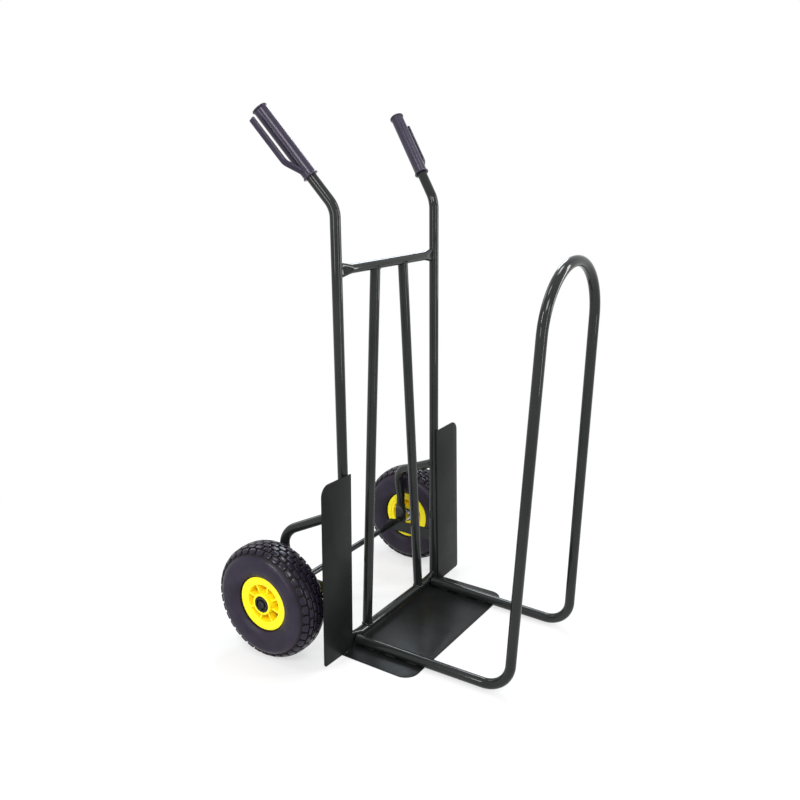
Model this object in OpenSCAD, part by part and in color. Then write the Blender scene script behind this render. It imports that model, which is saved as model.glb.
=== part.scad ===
// Fireside log cart: a bent-tube hand truck with a toe plate, two slats, a tall
// hooped loop that holds the logs in, and two pneumatic wheels on a through axle.
// Millimetres, +Z up, floor at z = 0. The handles and wheels are at +Y, the loop at -Y.

/* [Frame] */
// Distance between the centrelines of the two uprights
frame_w = 372; // [320:1:440]
// Outside diameter of the frame, loop and bracket tubes
tube_od = 22; // [20:0.5:26]
// Wall of every tube
tube_wall = 1.5; // [1:0.1:2.5]
// Backward lean of the uprights from the vertical, in degrees
frame_lean = 0.6; // [0:0.1:2]
// Height of the top crossbar's centreline
crossbar_h = 840; // [760:1:900]
// Outside diameter of the two crossbars
crossbar_od = 20; // [16:0.5:22]
// Height of a crossbar's squeezed end
crossbar_end_h = 30; // [24:0.5:32]
// Thickness of a crossbar's squeezed end
crossbar_end_t = 10; // [9:0.5:15]
// Length of a crossbar's squeezed end
crossbar_end_len = 46; // [30:1:60]
// Distance of each slat from the middle, at the top crossbar
slat_top_x = 53; // [40:1:70]
// Distance of each slat from the middle, at the lower crossbar
slat_foot_x = 110; // [90:1:125]

/* [Handles] */
// Height at which the straight part of an upright would meet its handle
handle_h = 962; // [920:1:1020]
// Backward tilt of the handles from the vertical, in degrees
handle_tilt = 38.3; // [30:0.1:45]
// Outward turn of the handles, in degrees
handle_splay = 21; // [0:0.5:25]
// Bend radius on the centreline of an upright
handle_bend_r = 55; // [45:1:80]
// Distance from the bend's corner to the lower end of a grip
grip_start = 75; // [65:1:100]
// Length of a grip
grip_len = 162; // [140:1:180]
// Outside diameter of a grip
grip_od = 29; // [28:0.5:34]
// Outside diameter of a grip's two end flanges
grip_flange_od = 33; // [32:0.5:38]
// Thickness of a grip's end flanges
grip_flange_t = 3; // [2:0.5:4]
// Closed end of a grip beyond the handle tube
grip_end_t = 4; // [3:0.5:6]
// Distance from a grip's axis to the middle of its hand guard
guard_reach = 37; // [34:0.5:44]
// Turn of the hand guard below the level of the grip, in degrees
guard_turn = 8; // [0:1:20]
// Thickness of the hand guard's bar
guard_bar_t = 6.5; // [5:0.5:8]
// Width of the hand guard's bar
guard_bar_w = 13; // [8:0.5:16]
// Length of grip over which the hand guard swings out
guard_root_len = 46; // [36:1:60]
// Bend radius on the centreline of the hand guard
guard_bend_r = 16; // [12:1:20]
// Distance from a grip's outer end back to the hand guard's tip
guard_tip_back = 17; // [10:1:30]

/* [Toe plate and wheel guards] */
// Thickness of the toe plate
plate_t = 3; // [2:0.5:5]
// Width of the toe plate
plate_w = 436; // [400:1:480]
// Reach of the toe plate in front of the frame's centreline
plate_reach = 186; // [150:1:220]
// Radius of the toe plate's two front corners
plate_corner_r = 32; // [10:1:45]
// Thickness of a wheel guard
wheel_guard_t = 3; // [2:0.5:4]
// Width of a wheel guard
wheel_guard_w = 100; // [90:1:108]
// Height of a wheel guard's top edge
wheel_guard_top = 413; // [380:1:440]
// Height of a wheel guard's bottom edge
wheel_guard_bottom = 5; // [4:1:12]
// Overlap of a wheel guard past the centreline of its upright
wheel_guard_lap = 5.5; // [2:0.5:9]
// Radius of a wheel guard's outer top corner
wheel_guard_top_r = 24; // [10:1:40]
// Radius of a wheel guard's outer bottom corner
wheel_guard_bottom_r = 7; // [3:1:20]
// Turn of a wheel guard in its own plane, with its top towards the middle, in degrees
wheel_guard_turn = 1.5; // [0:0.25:3]

/* [Log loop] */
// Height of the arch's centreline
arch_h = 868; // [780:1:940]
// Distance from the frame to the foot corner of the loop
loop_foot_reach = 382; // [340:1:430]
// Distance from the frame to the top of the arch
loop_top_reach = 414; // [360:1:460]
// Gap between the rear end of each rail and the upright beside it
rail_gap = 1; // [0.5:0.5:6]
// How much nearer the middle each foot corner lies than its rail's rear end
loop_foot_in = 8.5; // [0:0.5:25]
// How much nearer the middle each leg is at the arch's height than at its foot corner
loop_top_in = 28.5; // [10:0.5:45]
// Bend radius on the centreline of the loop's two foot corners
loop_foot_r = 60; // [45:1:80]

/* [Axle and brackets] */
// Distance from the frame's foot back to the axle
axle_back = 130; // [120:1:160]
// Diameter of the axle
axle_d = 15; // [12:0.5:18]
// Gap between a bracket's leg and the tyre beside it
bracket_gap = 4; // [2:0.5:8]
// Height at which a bracket meets its upright
bracket_top = 326; // [280:1:360]
// Height of the corner between a bracket's arm and its leg
bracket_corner_h = 264.5; // [240:0.5:300]
// How far behind the axle the corner of a bracket lies
bracket_corner_back = 10.5; // [2:0.5:15]
// Bend radius on a bracket's centreline
bracket_bend_r = 44; // [30:1:50]
// Width of the flattened eye that holds the axle
eye_w = 31; // [26:1:36]
// Thickness of the flattened eye
eye_t = 6; // [4:0.5:8]
// Height of the eye's flat above the axle
eye_rise = 22; // [18:1:30]
// Length over which the tube goes from round to flat
eye_blend = 24; // [15:1:40]
// Height of an axle stay
stay_h = 28; // [22:1:34]
// Thickness of an axle stay
stay_t = 5; // [3:0.5:8]

/* [Wheels] */
// Distance of each wheel's middle plane from the middle of the cart
wheel_x = 286; // [282:1:300]
// Outside diameter of a tyre
tyre_od = 260; // [240:2:280]
// Width of a tyre
tyre_w = 84; // [76:1:86]
// Wall of a tyre
tyre_wall = 7; // [6:0.5:9]
// Number of lugs in each row of the tread
lug_count = 36; // [24:2:48]
// Height of the lugs above the gaps between them
lug_h = 3; // [2:0.5:4]
// Width of the rows of lugs in the middle of the tread, with one groove each
lug_row_w = 12; // [10:0.5:13]
// Width of the grooves between rows
row_groove_w = 2; // [1.5:0.25:3]
// How much deeper than the gaps between lugs the grooves between rows are
groove_step = 0.5; // [0.3:0.1:1]
// Width of the gaps between the lugs of a row
lug_gap = 4; // [2.5:0.25:6]
// Radius at which the gaps between shoulder lugs run out on the sidewall
lug_foot_r = 108; // [104:1:116]
// Radius of the rim's bead seat
bead_r = 52; // [50:0.5:54]
// Radius of the rim's flanges
rim_r = 61; // [58:0.5:64]
// Width of the rim over its flanges
rim_w = 58; // [54:1:60]
// Thickness of the rim's flanges
flange_t = 4; // [3:0.5:5]
// Inner radius of the raised lip on each face of the rim
lip_r = 50; // [47:0.5:51]
// Height of the raised lip
lip_h = 1.5; // [0.5:0.25:2.5]
// Outer radius of the rim's pockets
pocket_r = 43; // [40:0.5:46]
// Outer radius of the hub
hub_r = 24; // [22:0.5:28]
// Width of the hub
hub_w = 53; // [50:1:56]
// Thickness of the web between hub and rim
web_t = 6; // [4:0.5:8]
// How much the hub and the pockets' outer wall thicken from the face to the web
mould_draft = 2; // [0.5:0.25:3]
// Number of ribs on each face of the rim
rib_count = 8; // [6:1:10]
// Thickness of a rib
rib_t = 4; // [3:0.5:5]
// Depth of the rib edges behind the rim's face
rib_inset = 4; // [2:0.5:8]
// Turn of the ribs at rest, in degrees
rib_turn = 17.6; // [0:0.1:45]
// Wall of an inner tube
inner_tube_wall = 2; // [1.5:0.5:3]
// Diameter of a valve stem
valve_d = 7; // [6:0.5:8]
// Distance of a valve from the wheel's middle plane, on the outboard side
valve_x = 13; // [11:0.5:15]
// Radius that the tip of a valve reaches in to
valve_tip_r = 35; // [30:0.5:38]

/* [Wheel bearings and fixings] */
// Outside diameter of a hub bush
bush_od = 26; // [23:0.5:30]
// Length of a hub bush inside the hub
bush_len = 18; // [12:1:22]
// Outside diameter of a hub bush's flange
bush_flange_od = 35; // [30:0.5:38]
// Thickness of a hub bush's flange
bush_flange_t = 2; // [1.5:0.5:3]
// Outside diameter of a washer
washer_od = 28; // [24:0.5:34]
// Thickness of a washer
washer_t = 1.5; // [1:0.25:2.5]
// Outside diameter of a spacer sleeve
spacer_od = 22; // [20:0.5:26]
// Outside diameter of an axle cap
cap_od = 37; // [34:0.5:40]
// Length of an axle cap
cap_len = 4.5; // [4:0.25:8]
// Closed end of an axle cap beyond the axle
cap_end_t = 2; // [1.5:0.25:3]
// Edge radius of an axle cap
cap_edge_r = 1.5; // [0.5:0.25:2]

/* [Clearances] */
// Gap left where two welded pieces meet
weld_gap = 0.1; // [0:0.05:0.3]
// Radial clearance of the bushes on the axle
running_gap = 0.05; // [0.02:0.01:0.1]
// Radial clearance of pieces pushed or slid on the axle
slide_gap = 0.05; // [0:0.05:0.2]
// Radial clearance of a grip on its tube
grip_gap = 0.1; // [0:0.05:0.3]
// Gap between a turning wheel and what stands beside it
side_gap = 0.3; // [0.2:0.05:0.5]
// Gap between a tyre and its rim, and round an inner tube
tyre_gap = 0.2; // [0.1:0.05:0.5]

/* [Hidden] */
$fn = 96;

// The pocket that the valve stands in, counted from the first rib
valve_pocket = 6;

// Colours
powder_coat = [0.19, 0.21, 0.20];
plate_black = [0.09, 0.095, 0.095];
grip_plastic = [0.20, 0.18, 0.22];
tyre_rubber = [0.10, 0.09, 0.11];
rim_yellow = [1.00, 0.88, 0.05];
black_plastic = [0.05, 0.05, 0.055];
zinc = [0.70, 0.71, 0.72];
// Left is -X and right is +X
left = -1;
right = 1;
// Cut that runs clear through a wall
through = 1;
// Where two lengths of one bar meet: how far one runs into the other, and the step
joint_lap = 0.5;
joint_step = 0.1;
// Thickness of the slices that a hull is drawn between
slice = 0.1;

tube_r = tube_od / 2;
crossbar_r = crossbar_od / 2;
tyre_r = tyre_od / 2;
axle_r = axle_d / 2;
// The origin is on the floor, in the middle of the cart's length
reach_front = loop_top_reach + tube_r;
reach_back = axle_back + tyre_r;
frame_y = (reach_front - reach_back) / 2;
axle_y = frame_y + axle_back;
axle_h = tyre_r;
// The lower crossbar rests on the toe plate
lower_crossbar_h = plate_t + crossbar_end_h / 2 + weld_gap;
// Slats reach this far into the crossbars' outline and are cut to it
slat_bite = 4;
slat_join = crossbar_r - slat_bite;
rail_h = plate_t + tube_r + weld_gap;
rail_x = frame_w / 2 - tube_od - rail_gap;
loop_foot_x = rail_x - loop_foot_in;
loop_top_x = loop_foot_x - loop_top_in;
bracket_x = wheel_x - tyre_w / 2 - bracket_gap - tube_r;
// A bracket's leg slants forward to this height above its eye, bends and runs on plumb
bracket_plumb = 19;
bracket_foot_bend_r = 30;

// Stations along the axle, measured outwards from the middle
hub_in = wheel_x - hub_w / 2;
hub_out = wheel_x + hub_w / 2;
inner_washer_x = hub_in - bush_flange_t - side_gap - washer_t;
eye_out = bracket_x + eye_t / 2;
spacer_len = inner_washer_x - eye_out;
outer_washer_x = hub_out + bush_flange_t + side_gap;
cap_x = outer_washer_x + washer_t;
axle_end = cap_x + cap_len - cap_end_t;

// Tyre section: a squarish oval, rounder towards the rim than towards the tread. The
// powers are those of the oval: 2 would be an ellipse.
tread_side_n = 2.6;
rim_side_n = 2.15;
tyre_section_steps = 32;
tyre_mid_r = (tyre_r + bead_r) / 2;
tyre_half_h = (tyre_r - bead_r) / 2;
rim_seat_w = rim_w - 2 * flange_t;

// --- Places and directions ------------------------------------------------------------

function unit(v) = v / norm(v);

// A point on the leaning plane of the frame
function at_frame(x, h) = [x, frame_y + h * tan(frame_lean), h];

function handle_dir() =
  [sin(handle_tilt) * sin(handle_splay), sin(handle_tilt) * cos(handle_splay), cos(handle_tilt)];

handle_corner = at_frame(frame_w / 2, handle_h);
grip_axis = handle_dir();
grip_out = unit([1, 0, 0] - grip_axis[0] * grip_axis);
grip_up = cross(grip_out, grip_axis);
guard_out = cos(guard_turn) * grip_out - sin(guard_turn) * grip_up;

// Rigid move that takes the local axes to x, y, z and the local origin to p
function place(x, y, z, p) = [
  [x[0], y[0], z[0], p[0]],
  [x[1], y[1], z[1], p[1]],
  [x[2], y[2], z[2], p[2]],
  [0, 0, 0, 1]
];

// --- A bent bar or tube ---------------------------------------------------------------
// route lists the corners, ends included; bends lists a radius for each inner corner.

function heading(route, i) = unit(route[i + 1] - route[i]);
function turn(route, i) = acos(heading(route, i - 1) * heading(route, i));
function turn_axis(route, i) = unit(cross(heading(route, i - 1), heading(route, i)));
function is_end(route, i) = i == 0 || i == len(route) - 1;
function setback(route, bends, i) =
  is_end(route, i) ? 0 : bends[i - 1] * tan(turn(route, i) / 2);

// A solid round bar along the route. A bend is a hair thicker than the straights, as a
// bent tube is, and each straight laps into its bends.
module bent_rod(route, bends, r) {
  last = len(route) - 1;
  for (i = [0 : last - 1]) {
    along = heading(route, i);
    lap_in = is_end(route, i) ? 0 : joint_lap;
    lap_out = is_end(route, i + 1) ? 0 : joint_lap;
    from = route[i] + along * (setback(route, bends, i) - lap_in);
    to = route[i + 1] - along * (setback(route, bends, i + 1) - lap_out);
    rod(from, to, r - joint_step);
  }
  for (i = [1 : last - 1]) {
    u = heading(route, i - 1);
    n = turn_axis(route, i);
    inward = cross(n, u);
    centre = route[i] - u * setback(route, bends, i) + inward * bends[i - 1];
    multmatrix(place(-inward, u, n, centre))
      rotate_extrude(angle = turn(route, i)) translate([bends[i - 1], 0]) circle(r);
  }
}

// The same route with both ends carried on by a distance
function carried_on(route, by) = [
  for (i = [0 : len(route) - 1])
    i == 0 ? route[0] - by * heading(route, 0)
      : i == len(route) - 1 ? route[i] + by * heading(route, i - 1)
      : route[i]
];

module bent_tube(route, bends) {
  difference() {
    bent_rod(route, bends, tube_r);
    bent_rod(carried_on(route, through), bends, tube_r - tube_wall);
  }
}

module ring_2d(outer_r, inner_r) {
  difference() {
    circle(outer_r);
    circle(inner_r);
  }
}

// Straight rod between two points
module rod(a, b, r) {
  along = unit(b - a);
  side = unit(cross(along, abs(along[0]) < 0.9 ? [1, 0, 0] : [0, 1, 0]));
  multmatrix(place(side, cross(along, side), along, a)) cylinder(r = r, h = norm(b - a));
}

module on_side(side) {
  if (side == left) mirror([1, 0, 0]) children();
  else children();
}

// --- Frame ----------------------------------------------------------------------------

upright_foot = plate_t + 2 * weld_gap;
handle_tube_end = grip_start + grip_len - grip_end_t - grip_gap;

module upright(side) {
  color(powder_coat) on_side(side)
    bent_tube(
      [at_frame(frame_w / 2, upright_foot), handle_corner, handle_corner + handle_tube_end * grip_axis],
      [handle_bend_r]
    );
}

// Solid shape of an upright below its bend, grown by a gap, to cut what is welded to it
module upright_cutter() {
  rod(at_frame(frame_w / 2, 0), at_frame(frame_w / 2, handle_h), tube_r + weld_gap);
}

squeeze_at = frame_w / 2 - crossbar_end_len;

// Half of a crossbar along +X: a round tube that is squeezed flat towards its end
module crossbar_half() {
  rotate([0, 90, 0]) cylinder(r = crossbar_r, h = squeeze_at);
  hull() {
    translate([squeeze_at - joint_lap, 0, 0]) rotate([0, 90, 0])
      cylinder(r = crossbar_r - joint_step, h = slice, $fn = 32);
    translate([frame_w / 2 - tube_r + joint_lap, 0, 0]) squeezed_end(slice, joint_step, 32);
  }
  translate([frame_w / 2 - tube_r, 0, 0]) squeezed_end(tube_r, 0, $fn);
}

module squeezed_end(depth, inset, sides) {
  round_d = crossbar_end_t - 2 * inset;
  straight = crossbar_end_h - crossbar_end_t;
  rotate([90, 0, 90]) linear_extrude(depth) {
    square([round_d, straight], center = true);
    for (up = [-1, 1])
      translate([0, up * straight / 2]) circle(d = round_d, $fn = sides);
  }
}

// The bore is full width along the round part, and narrow through the squeezed ends
module crossbar_bore() {
  rotate([0, 90, 0]) cylinder(r = crossbar_r - tube_wall, h = 2 * squeeze_at, center = true);
  rotate([0, 90, 0]) cylinder(r = crossbar_end_t / 2 - tube_wall, h = frame_w, center = true);
}

module crossbar(h) {
  color(powder_coat) difference() {
    translate(at_frame(0, h)) difference() {
      for (side = [0, 1]) mirror([side, 0, 0]) crossbar_half();
      crossbar_bore();
    }
    for (side = [0, 1]) mirror([side, 0, 0]) upright_cutter();
  }
}

module slat(side) {
  foot = at_frame(slat_foot_x, lower_crossbar_h + slat_join);
  head = at_frame(slat_top_x, crossbar_h - slat_join);
  along = unit(head - foot);
  color(powder_coat) on_side(side) difference() {
    rod(foot, head, tube_r);
    rod(foot - along, head + along, tube_r - tube_wall);
    for (h = [lower_crossbar_h, crossbar_h])
      translate(at_frame(0, h)) rotate([0, 90, 0])
        cylinder(r = crossbar_r + weld_gap, h = frame_w, center = true);
  }
}

// --- Plates ---------------------------------------------------------------------------

// What a rounded corner takes off a square one; the corner is at the origin, the plate
// in the -X, -Y quarter
module corner_waste(r) {
  difference() {
    translate([-r, -r]) square(r + through);
    translate([-r, -r]) circle(r);
  }
}

module toe_plate() {
  rear = frame_y + tube_r;
  front = frame_y - plate_reach;
  color(plate_black) linear_extrude(plate_t) difference() {
    translate([-plate_w / 2, front]) square([plate_w, rear - front]);
    for (side = [0, 1])
      mirror([side, 0]) translate([plate_w / 2, front]) mirror([0, 1]) corner_waste(plate_corner_r);
  }
}

module wheel_guard_outline() {
  h = wheel_guard_top - wheel_guard_bottom;
  difference() {
    square([wheel_guard_w, h]);
    translate([wheel_guard_w, h]) corner_waste(wheel_guard_top_r);
    translate([wheel_guard_w, 0]) mirror([0, 1]) corner_waste(wheel_guard_bottom_r);
  }
}

module wheel_guard(side) {
  inner_x = frame_w / 2 - wheel_guard_lap;
  mid_h = (wheel_guard_top - wheel_guard_bottom) / 2;
  color(plate_black) on_side(side)
    translate(at_frame(inner_x, wheel_guard_bottom)) rotate([90 - frame_lean, 0, 0])
      translate([0, mid_h, tube_r + weld_gap]) rotate(wheel_guard_turn) translate([0, -mid_h])
        linear_extrude(wheel_guard_t) wheel_guard_outline();
}

// --- Log loop -------------------------------------------------------------------------

function loop_side(side) = [
  [side * rail_x, frame_y - tube_r - 2 * weld_gap, rail_h],
  [side * loop_foot_x, frame_y - loop_foot_reach, rail_h],
  [side * loop_top_x, frame_y - loop_top_reach, arch_h]
];
function reversed(list) = [for (i = [len(list) - 1 : -1 : 0]) list[i]];
loop_route = concat(loop_side(left), reversed(loop_side(right)));
// The two top bends all but meet in the middle, which makes the arch half round
arch_straight = 1;
arch_r = (loop_top_x - arch_straight / 2) / tan(turn(loop_route, 2) / 2);

module log_loop() {
  color(powder_coat) bent_tube(loop_route, [loop_foot_r, arch_r, arch_r, loop_foot_r]);
}

// --- Axle brackets --------------------------------------------------------------------

module bracket(side) {
  flat_top = axle_h + eye_rise;
  corner = [bracket_x, axle_y + bracket_corner_back, bracket_corner_h];
  foot = [bracket_x, axle_y, flat_top + eye_blend];
  color(powder_coat) on_side(side) difference() {
    union() {
      bent_tube(
        [at_frame(frame_w / 2, bracket_top), corner, foot + [0, 0, bracket_plumb], foot],
        [bracket_bend_r, bracket_foot_bend_r]
      );
      translate([bracket_x, axle_y, flat_top]) hull() {
        translate([0, 0, eye_blend + joint_lap]) cylinder(r = tube_r - 2 * joint_step, h = slice, $fn = 48);
        translate([-eye_t / 2, -eye_w / 2, 0]) cube([eye_t, eye_w, slice]);
      }
      translate([bracket_x - eye_t / 2, axle_y, axle_h]) rotate([90, 0, 90])
        linear_extrude(eye_t) {
          circle(eye_w / 2);
          translate([-eye_w / 2, 0]) square([eye_w, eye_rise]);
        }
    }
    axle_cutter();
    upright_cutter();
  }
}

module axle_cutter() {
  translate([0, axle_y, axle_h]) rotate([0, 90, 0])
    cylinder(r = axle_r + slide_gap, h = 2 * axle_end + through, center = true);
}

module axle_stay(side) {
  color(powder_coat) on_side(side) difference() {
    translate([(frame_w - stay_t) / 2, 0, axle_h]) rotate([90, 0, 90]) linear_extrude(stay_t) {
      translate([axle_y, 0]) circle(stay_h / 2);
      translate([frame_y, -stay_h / 2]) square([axle_back, stay_h]);
    }
    axle_cutter();
    upright_cutter();
  }
}

// --- Grips ----------------------------------------------------------------------------

// Arc of points round c, from angle a to angle b
function arc(c, r, a, b, steps) =
  [for (i = [0 : steps]) c + r * [cos(a + (b - a) * i / steps), sin(a + (b - a) * i / steps)]];

// Side view of the hand guard: across is the distance from the grip's axis, and up runs
// along it. It swings out from the grip, bends at the knee and runs on beside the grip.
module guard_outline() {
  half_t = guard_bar_t / 2;
  root = [grip_od / 4, grip_flange_t + guard_bar_w / 2];
  knee = [guard_reach, guard_root_len];
  slope = atan2(knee[1] - root[1], knee[0] - root[0]);
  bend = 90 - slope;
  start = knee - guard_bend_r * tan(bend / 2) * [cos(slope), sin(slope)];
  centre = start + guard_bend_r * [-sin(slope), cos(slope)];
  tip = [guard_reach, grip_len - guard_tip_back];
  off = half_t * [sin(slope), -cos(slope)];
  polygon(concat(
    [root + off],
    arc(centre, guard_bend_r + half_t, slope - 90, 0, 12),
    arc(tip, half_t, 0, 180, 16),
    arc(centre, guard_bend_r - half_t, 0, slope - 90, 12),
    [root - off]
  ));
}

module grip(side) {
  color(grip_plastic) on_side(side)
    multmatrix(place(guard_out, cross(grip_axis, guard_out), grip_axis,
        handle_corner + grip_start * grip_axis))
      difference() {
        union() {
          cylinder(d = grip_od, h = grip_len);
          cylinder(d = grip_flange_od, h = grip_flange_t);
          translate([0, 0, grip_len - grip_flange_t]) cylinder(d = grip_flange_od, h = grip_flange_t);
          rotate([90, 0, 0]) linear_extrude(guard_bar_w, center = true) guard_outline();
        }
        translate([0, 0, -through])
          cylinder(r = tube_r + grip_gap, h = grip_len - grip_end_t + through);
      }
}

// --- Wheels ---------------------------------------------------------------------------
// A wheel is drawn about +Z, which points outboard, with its middle plane at z = 0.

module wheel_place(side) {
  on_side(side) translate([wheel_x, axle_y, axle_h]) rotate([0, 90, 0]) children();
}

// Squarish oval round the tyre's section, shrunk by an inset
function oval(v, n) = sign(v) * pow(abs(v), 2 / n);
function oval_at(share, n) = pow(1 - pow(share, n), 1 / n);
function tyre_section(inset) = [
  for (i = [0 : tyre_section_steps - 1])
    let (a = i * 360 / tyre_section_steps, n = cos(a) > 0 ? tread_side_n : rim_side_n)
      [
        tyre_mid_r + (tyre_half_h - inset) * oval(cos(a), n),
        (tyre_w / 2 - inset) * oval(sin(a), n)
      ]
];

// The rim's outline with a gap round it, which the tyre is moulded to
module rim_envelope_2d(gap) {
  translate([0, -rim_w / 2 - gap]) square([bead_r + gap, rim_w + 2 * gap]);
  for (side = [-1, 1])
    translate([0, side * (rim_w - flange_t) / 2 - flange_t / 2 - gap])
      square([rim_r + gap, flange_t + 2 * gap]);
}

module carcass_2d() {
  open_w = rim_seat_w - 2 * tyre_wall;
  difference() {
    polygon(tyre_section(0));
    polygon(tyre_section(tyre_wall));
    rim_envelope_2d(tyre_gap);
    translate([0, -open_w / 2]) square([tyre_mid_r, open_w]);
  }
}

shoulder_z = 2 * lug_row_w;

// Section of a cut into the tread to a depth, between two stations across it
module crown_cut_2d(from, to, depth) {
  difference() {
    translate([tyre_mid_r, from]) square([tyre_half_h + through, to - from]);
    polygon(tyre_section(depth));
  }
}

// Section of the groove along one edge of the rows
module row_groove_2d(edge) {
  middle = edge * lug_row_w;
  crown_cut_2d(middle - row_groove_w / 2, middle + row_groove_w / 2, lug_h + groove_step);
}

// Section of a gap between shoulder lugs, which runs out on the sidewall
module shoulder_cut_2d() {
  floor_r = tyre_mid_r + (tyre_half_h - lug_h) * oval_at(shoulder_z / (tyre_w / 2 - lug_h), tread_side_n);
  polygon([
    [floor_r, shoulder_z], [tyre_r, shoulder_z], [tyre_r, tyre_w / 2 + through],
    [lug_foot_r, tyre_w / 2 + through], [lug_foot_r, tyre_w / 2]
  ]);
}

module lug_gaps(offset) {
  gap_angle = lug_gap / tyre_r * 180 / PI;
  for (k = [0 : lug_count - 1])
    rotate((k + offset) * 360 / lug_count - gap_angle / 2) rotate_extrude(angle = gap_angle) children();
}

// Block tread: six rows of lugs, each set half a lug past the row beside it
module tread_cuts() {
  for (edge = [-2 : 2])
    rotate_extrude() row_groove_2d(edge);
  for (row = [-2 : 1])
    lug_gaps(row % 2 == 0 ? 0.5 : 0) crown_cut_2d(row * lug_row_w, (row + 1) * lug_row_w, lug_h);
  lug_gaps(0.5) shoulder_cut_2d();
  lug_gaps(0) mirror([0, 1]) shoulder_cut_2d();
}

module tyre(side) {
  color(tyre_rubber) wheel_place(side) difference() {
    rotate_extrude() carcass_2d();
    tread_cuts();
  }
}

// Places what is drawn along +Z on the valve's line, in the middle of a pocket
module at_valve() {
  rotate((valve_pocket + 0.5) * 360 / rib_count + rib_turn) translate([0, 0, valve_x]) rotate([0, 90, 0])
    children();
}

// The inner tube lies inside the tyre, and its valve passes through the rim
module inner_tube(side) {
  tube_inset = tyre_wall + tyre_gap;
  // Middle of the inner tube's wall, where the valve stands
  mid_inset = tube_inset + inner_tube_wall / 2;
  valve_share = valve_x / (tyre_w / 2 - mid_inset);
  valve_foot_r = tyre_mid_r - (tyre_half_h - mid_inset) * oval_at(valve_share, rim_side_n);
  color(black_plastic) wheel_place(side) {
    rotate_extrude() difference() {
      polygon(tyre_section(tube_inset));
      polygon(tyre_section(tube_inset + inner_tube_wall));
    }
    at_valve() translate([0, 0, valve_tip_r])
      cylinder(d = valve_d, h = valve_foot_r - valve_tip_r);
  }
}

// Section of the rim: drafted hub, web, drafted band and the two raised lips
module rim_2d() {
  band_half_w = rim_w / 2 - lip_h;
  half_web = web_t / 2;
  for (face = [0, 1]) mirror([0, face]) {
    polygon([
      [0, 0], [hub_r + mould_draft, 0], [hub_r + mould_draft, half_web], [hub_r, hub_w / 2],
      [0, hub_w / 2]
    ]);
    polygon([
      [pocket_r - mould_draft, 0], [bead_r, 0], [bead_r, band_half_w], [pocket_r, band_half_w],
      [pocket_r - mould_draft, half_web]
    ]);
    translate([lip_r, rim_w / 2 - flange_t]) square([rim_r - lip_r, flange_t]);
    translate([hub_r, 0]) square([pocket_r - hub_r, half_web]);
  }
}

module rim(side) {
  rib_depth = rim_w / 2 - rib_inset;
  color(rim_yellow) wheel_place(side) difference() {
    union() {
      rotate_extrude() rim_2d();
      for (i = [0 : rib_count - 1])
        rotate(i * 360 / rib_count + rib_turn) translate([hub_r - through, -rib_t / 2, -rib_depth])
          cube([pocket_r - hub_r + 2 * through, rib_t, 2 * rib_depth]);
    }
    cylinder(d = bush_od, h = hub_w + through, center = true);
    at_valve() translate([0, 0, hub_r]) cylinder(d = valve_d + 2 * tyre_gap, h = rim_r);
  }
}

module hub_bush(side, face) {
  color(black_plastic) wheel_place(side) mirror([0, 0, face < 0 ? 1 : 0]) difference() {
    union() {
      translate([0, 0, hub_w / 2 - bush_len]) cylinder(d = bush_od, h = bush_len);
      translate([0, 0, hub_w / 2]) cylinder(d = bush_flange_od, h = bush_flange_t);
    }
    cylinder(r = axle_r + running_gap, h = hub_w);
  }
}

// --- What is on the axle --------------------------------------------------------------

module axle() {
  color(powder_coat) translate([0, axle_y, axle_h]) rotate([0, 90, 0])
    cylinder(r = axle_r, h = 2 * axle_end, center = true);
}

// A sleeve on the axle that starts x from the middle
module sleeve(side, x, od, length) {
  on_side(side) translate([x, axle_y, axle_h]) rotate([0, 90, 0])
    linear_extrude(length) ring_2d(od / 2, axle_r + slide_gap);
}

module washer(side, x) {
  color(zinc) sleeve(side, x, washer_od, washer_t);
}

module spacer(side) {
  color(zinc) sleeve(side, eye_out, spacer_od, spacer_len);
}

module axle_cap(side) {
  color(black_plastic) on_side(side) translate([cap_x, axle_y, axle_h]) rotate([0, 90, 0])
    difference() {
      rotate_extrude() {
        square([cap_od / 2, cap_len - cap_edge_r]);
        square([cap_od / 2 - cap_edge_r, cap_len]);
        translate([cap_od / 2 - cap_edge_r, cap_len - cap_edge_r]) circle(cap_edge_r);
      }
      translate([0, 0, -through]) cylinder(r = axle_r + slide_gap, h = cap_len - cap_end_t + through);
    }
}

upright(left);  // upright_left
upright(right);  // upright_right
crossbar(crossbar_h);  // top_crossbar
crossbar(lower_crossbar_h);  // lower_crossbar
slat(left);  // slat_left
slat(right);  // slat_right
toe_plate();
wheel_guard(left);  // wheel_guard_left
wheel_guard(right);  // wheel_guard_right
log_loop();
bracket(left);  // bracket_left
bracket(right);  // bracket_right
axle_stay(left);  // axle_stay_left
axle_stay(right);  // axle_stay_right
axle();
grip(left);  // grip_left
grip(right);  // grip_right
tyre(left);  // tyre_left
tyre(right);  // tyre_right
inner_tube(left);  // inner_tube_left
inner_tube(right);  // inner_tube_right
rim(left);  // rim_left
rim(right);  // rim_right
hub_bush(left, 1);  // outer_bush_left
hub_bush(right, 1);  // outer_bush_right
hub_bush(left, -1);  // inner_bush_left
hub_bush(right, -1);  // inner_bush_right
washer(left, outer_washer_x);  // outer_washer_left
washer(right, outer_washer_x);  // outer_washer_right
washer(left, inner_washer_x);  // inner_washer_left
washer(right, inner_washer_x);  // inner_washer_right
spacer(left);  // spacer_left
spacer(right);  // spacer_right
axle_cap(left);  // axle_cap_left
axle_cap(right);  // axle_cap_right
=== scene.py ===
import math

import bmesh
import bpy
from bpy.props import FloatProperty, FloatVectorProperty, IntProperty, PointerProperty
from bpy.types import Operator, Panel, PropertyGroup
from mathutils import Matrix, Vector


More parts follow.
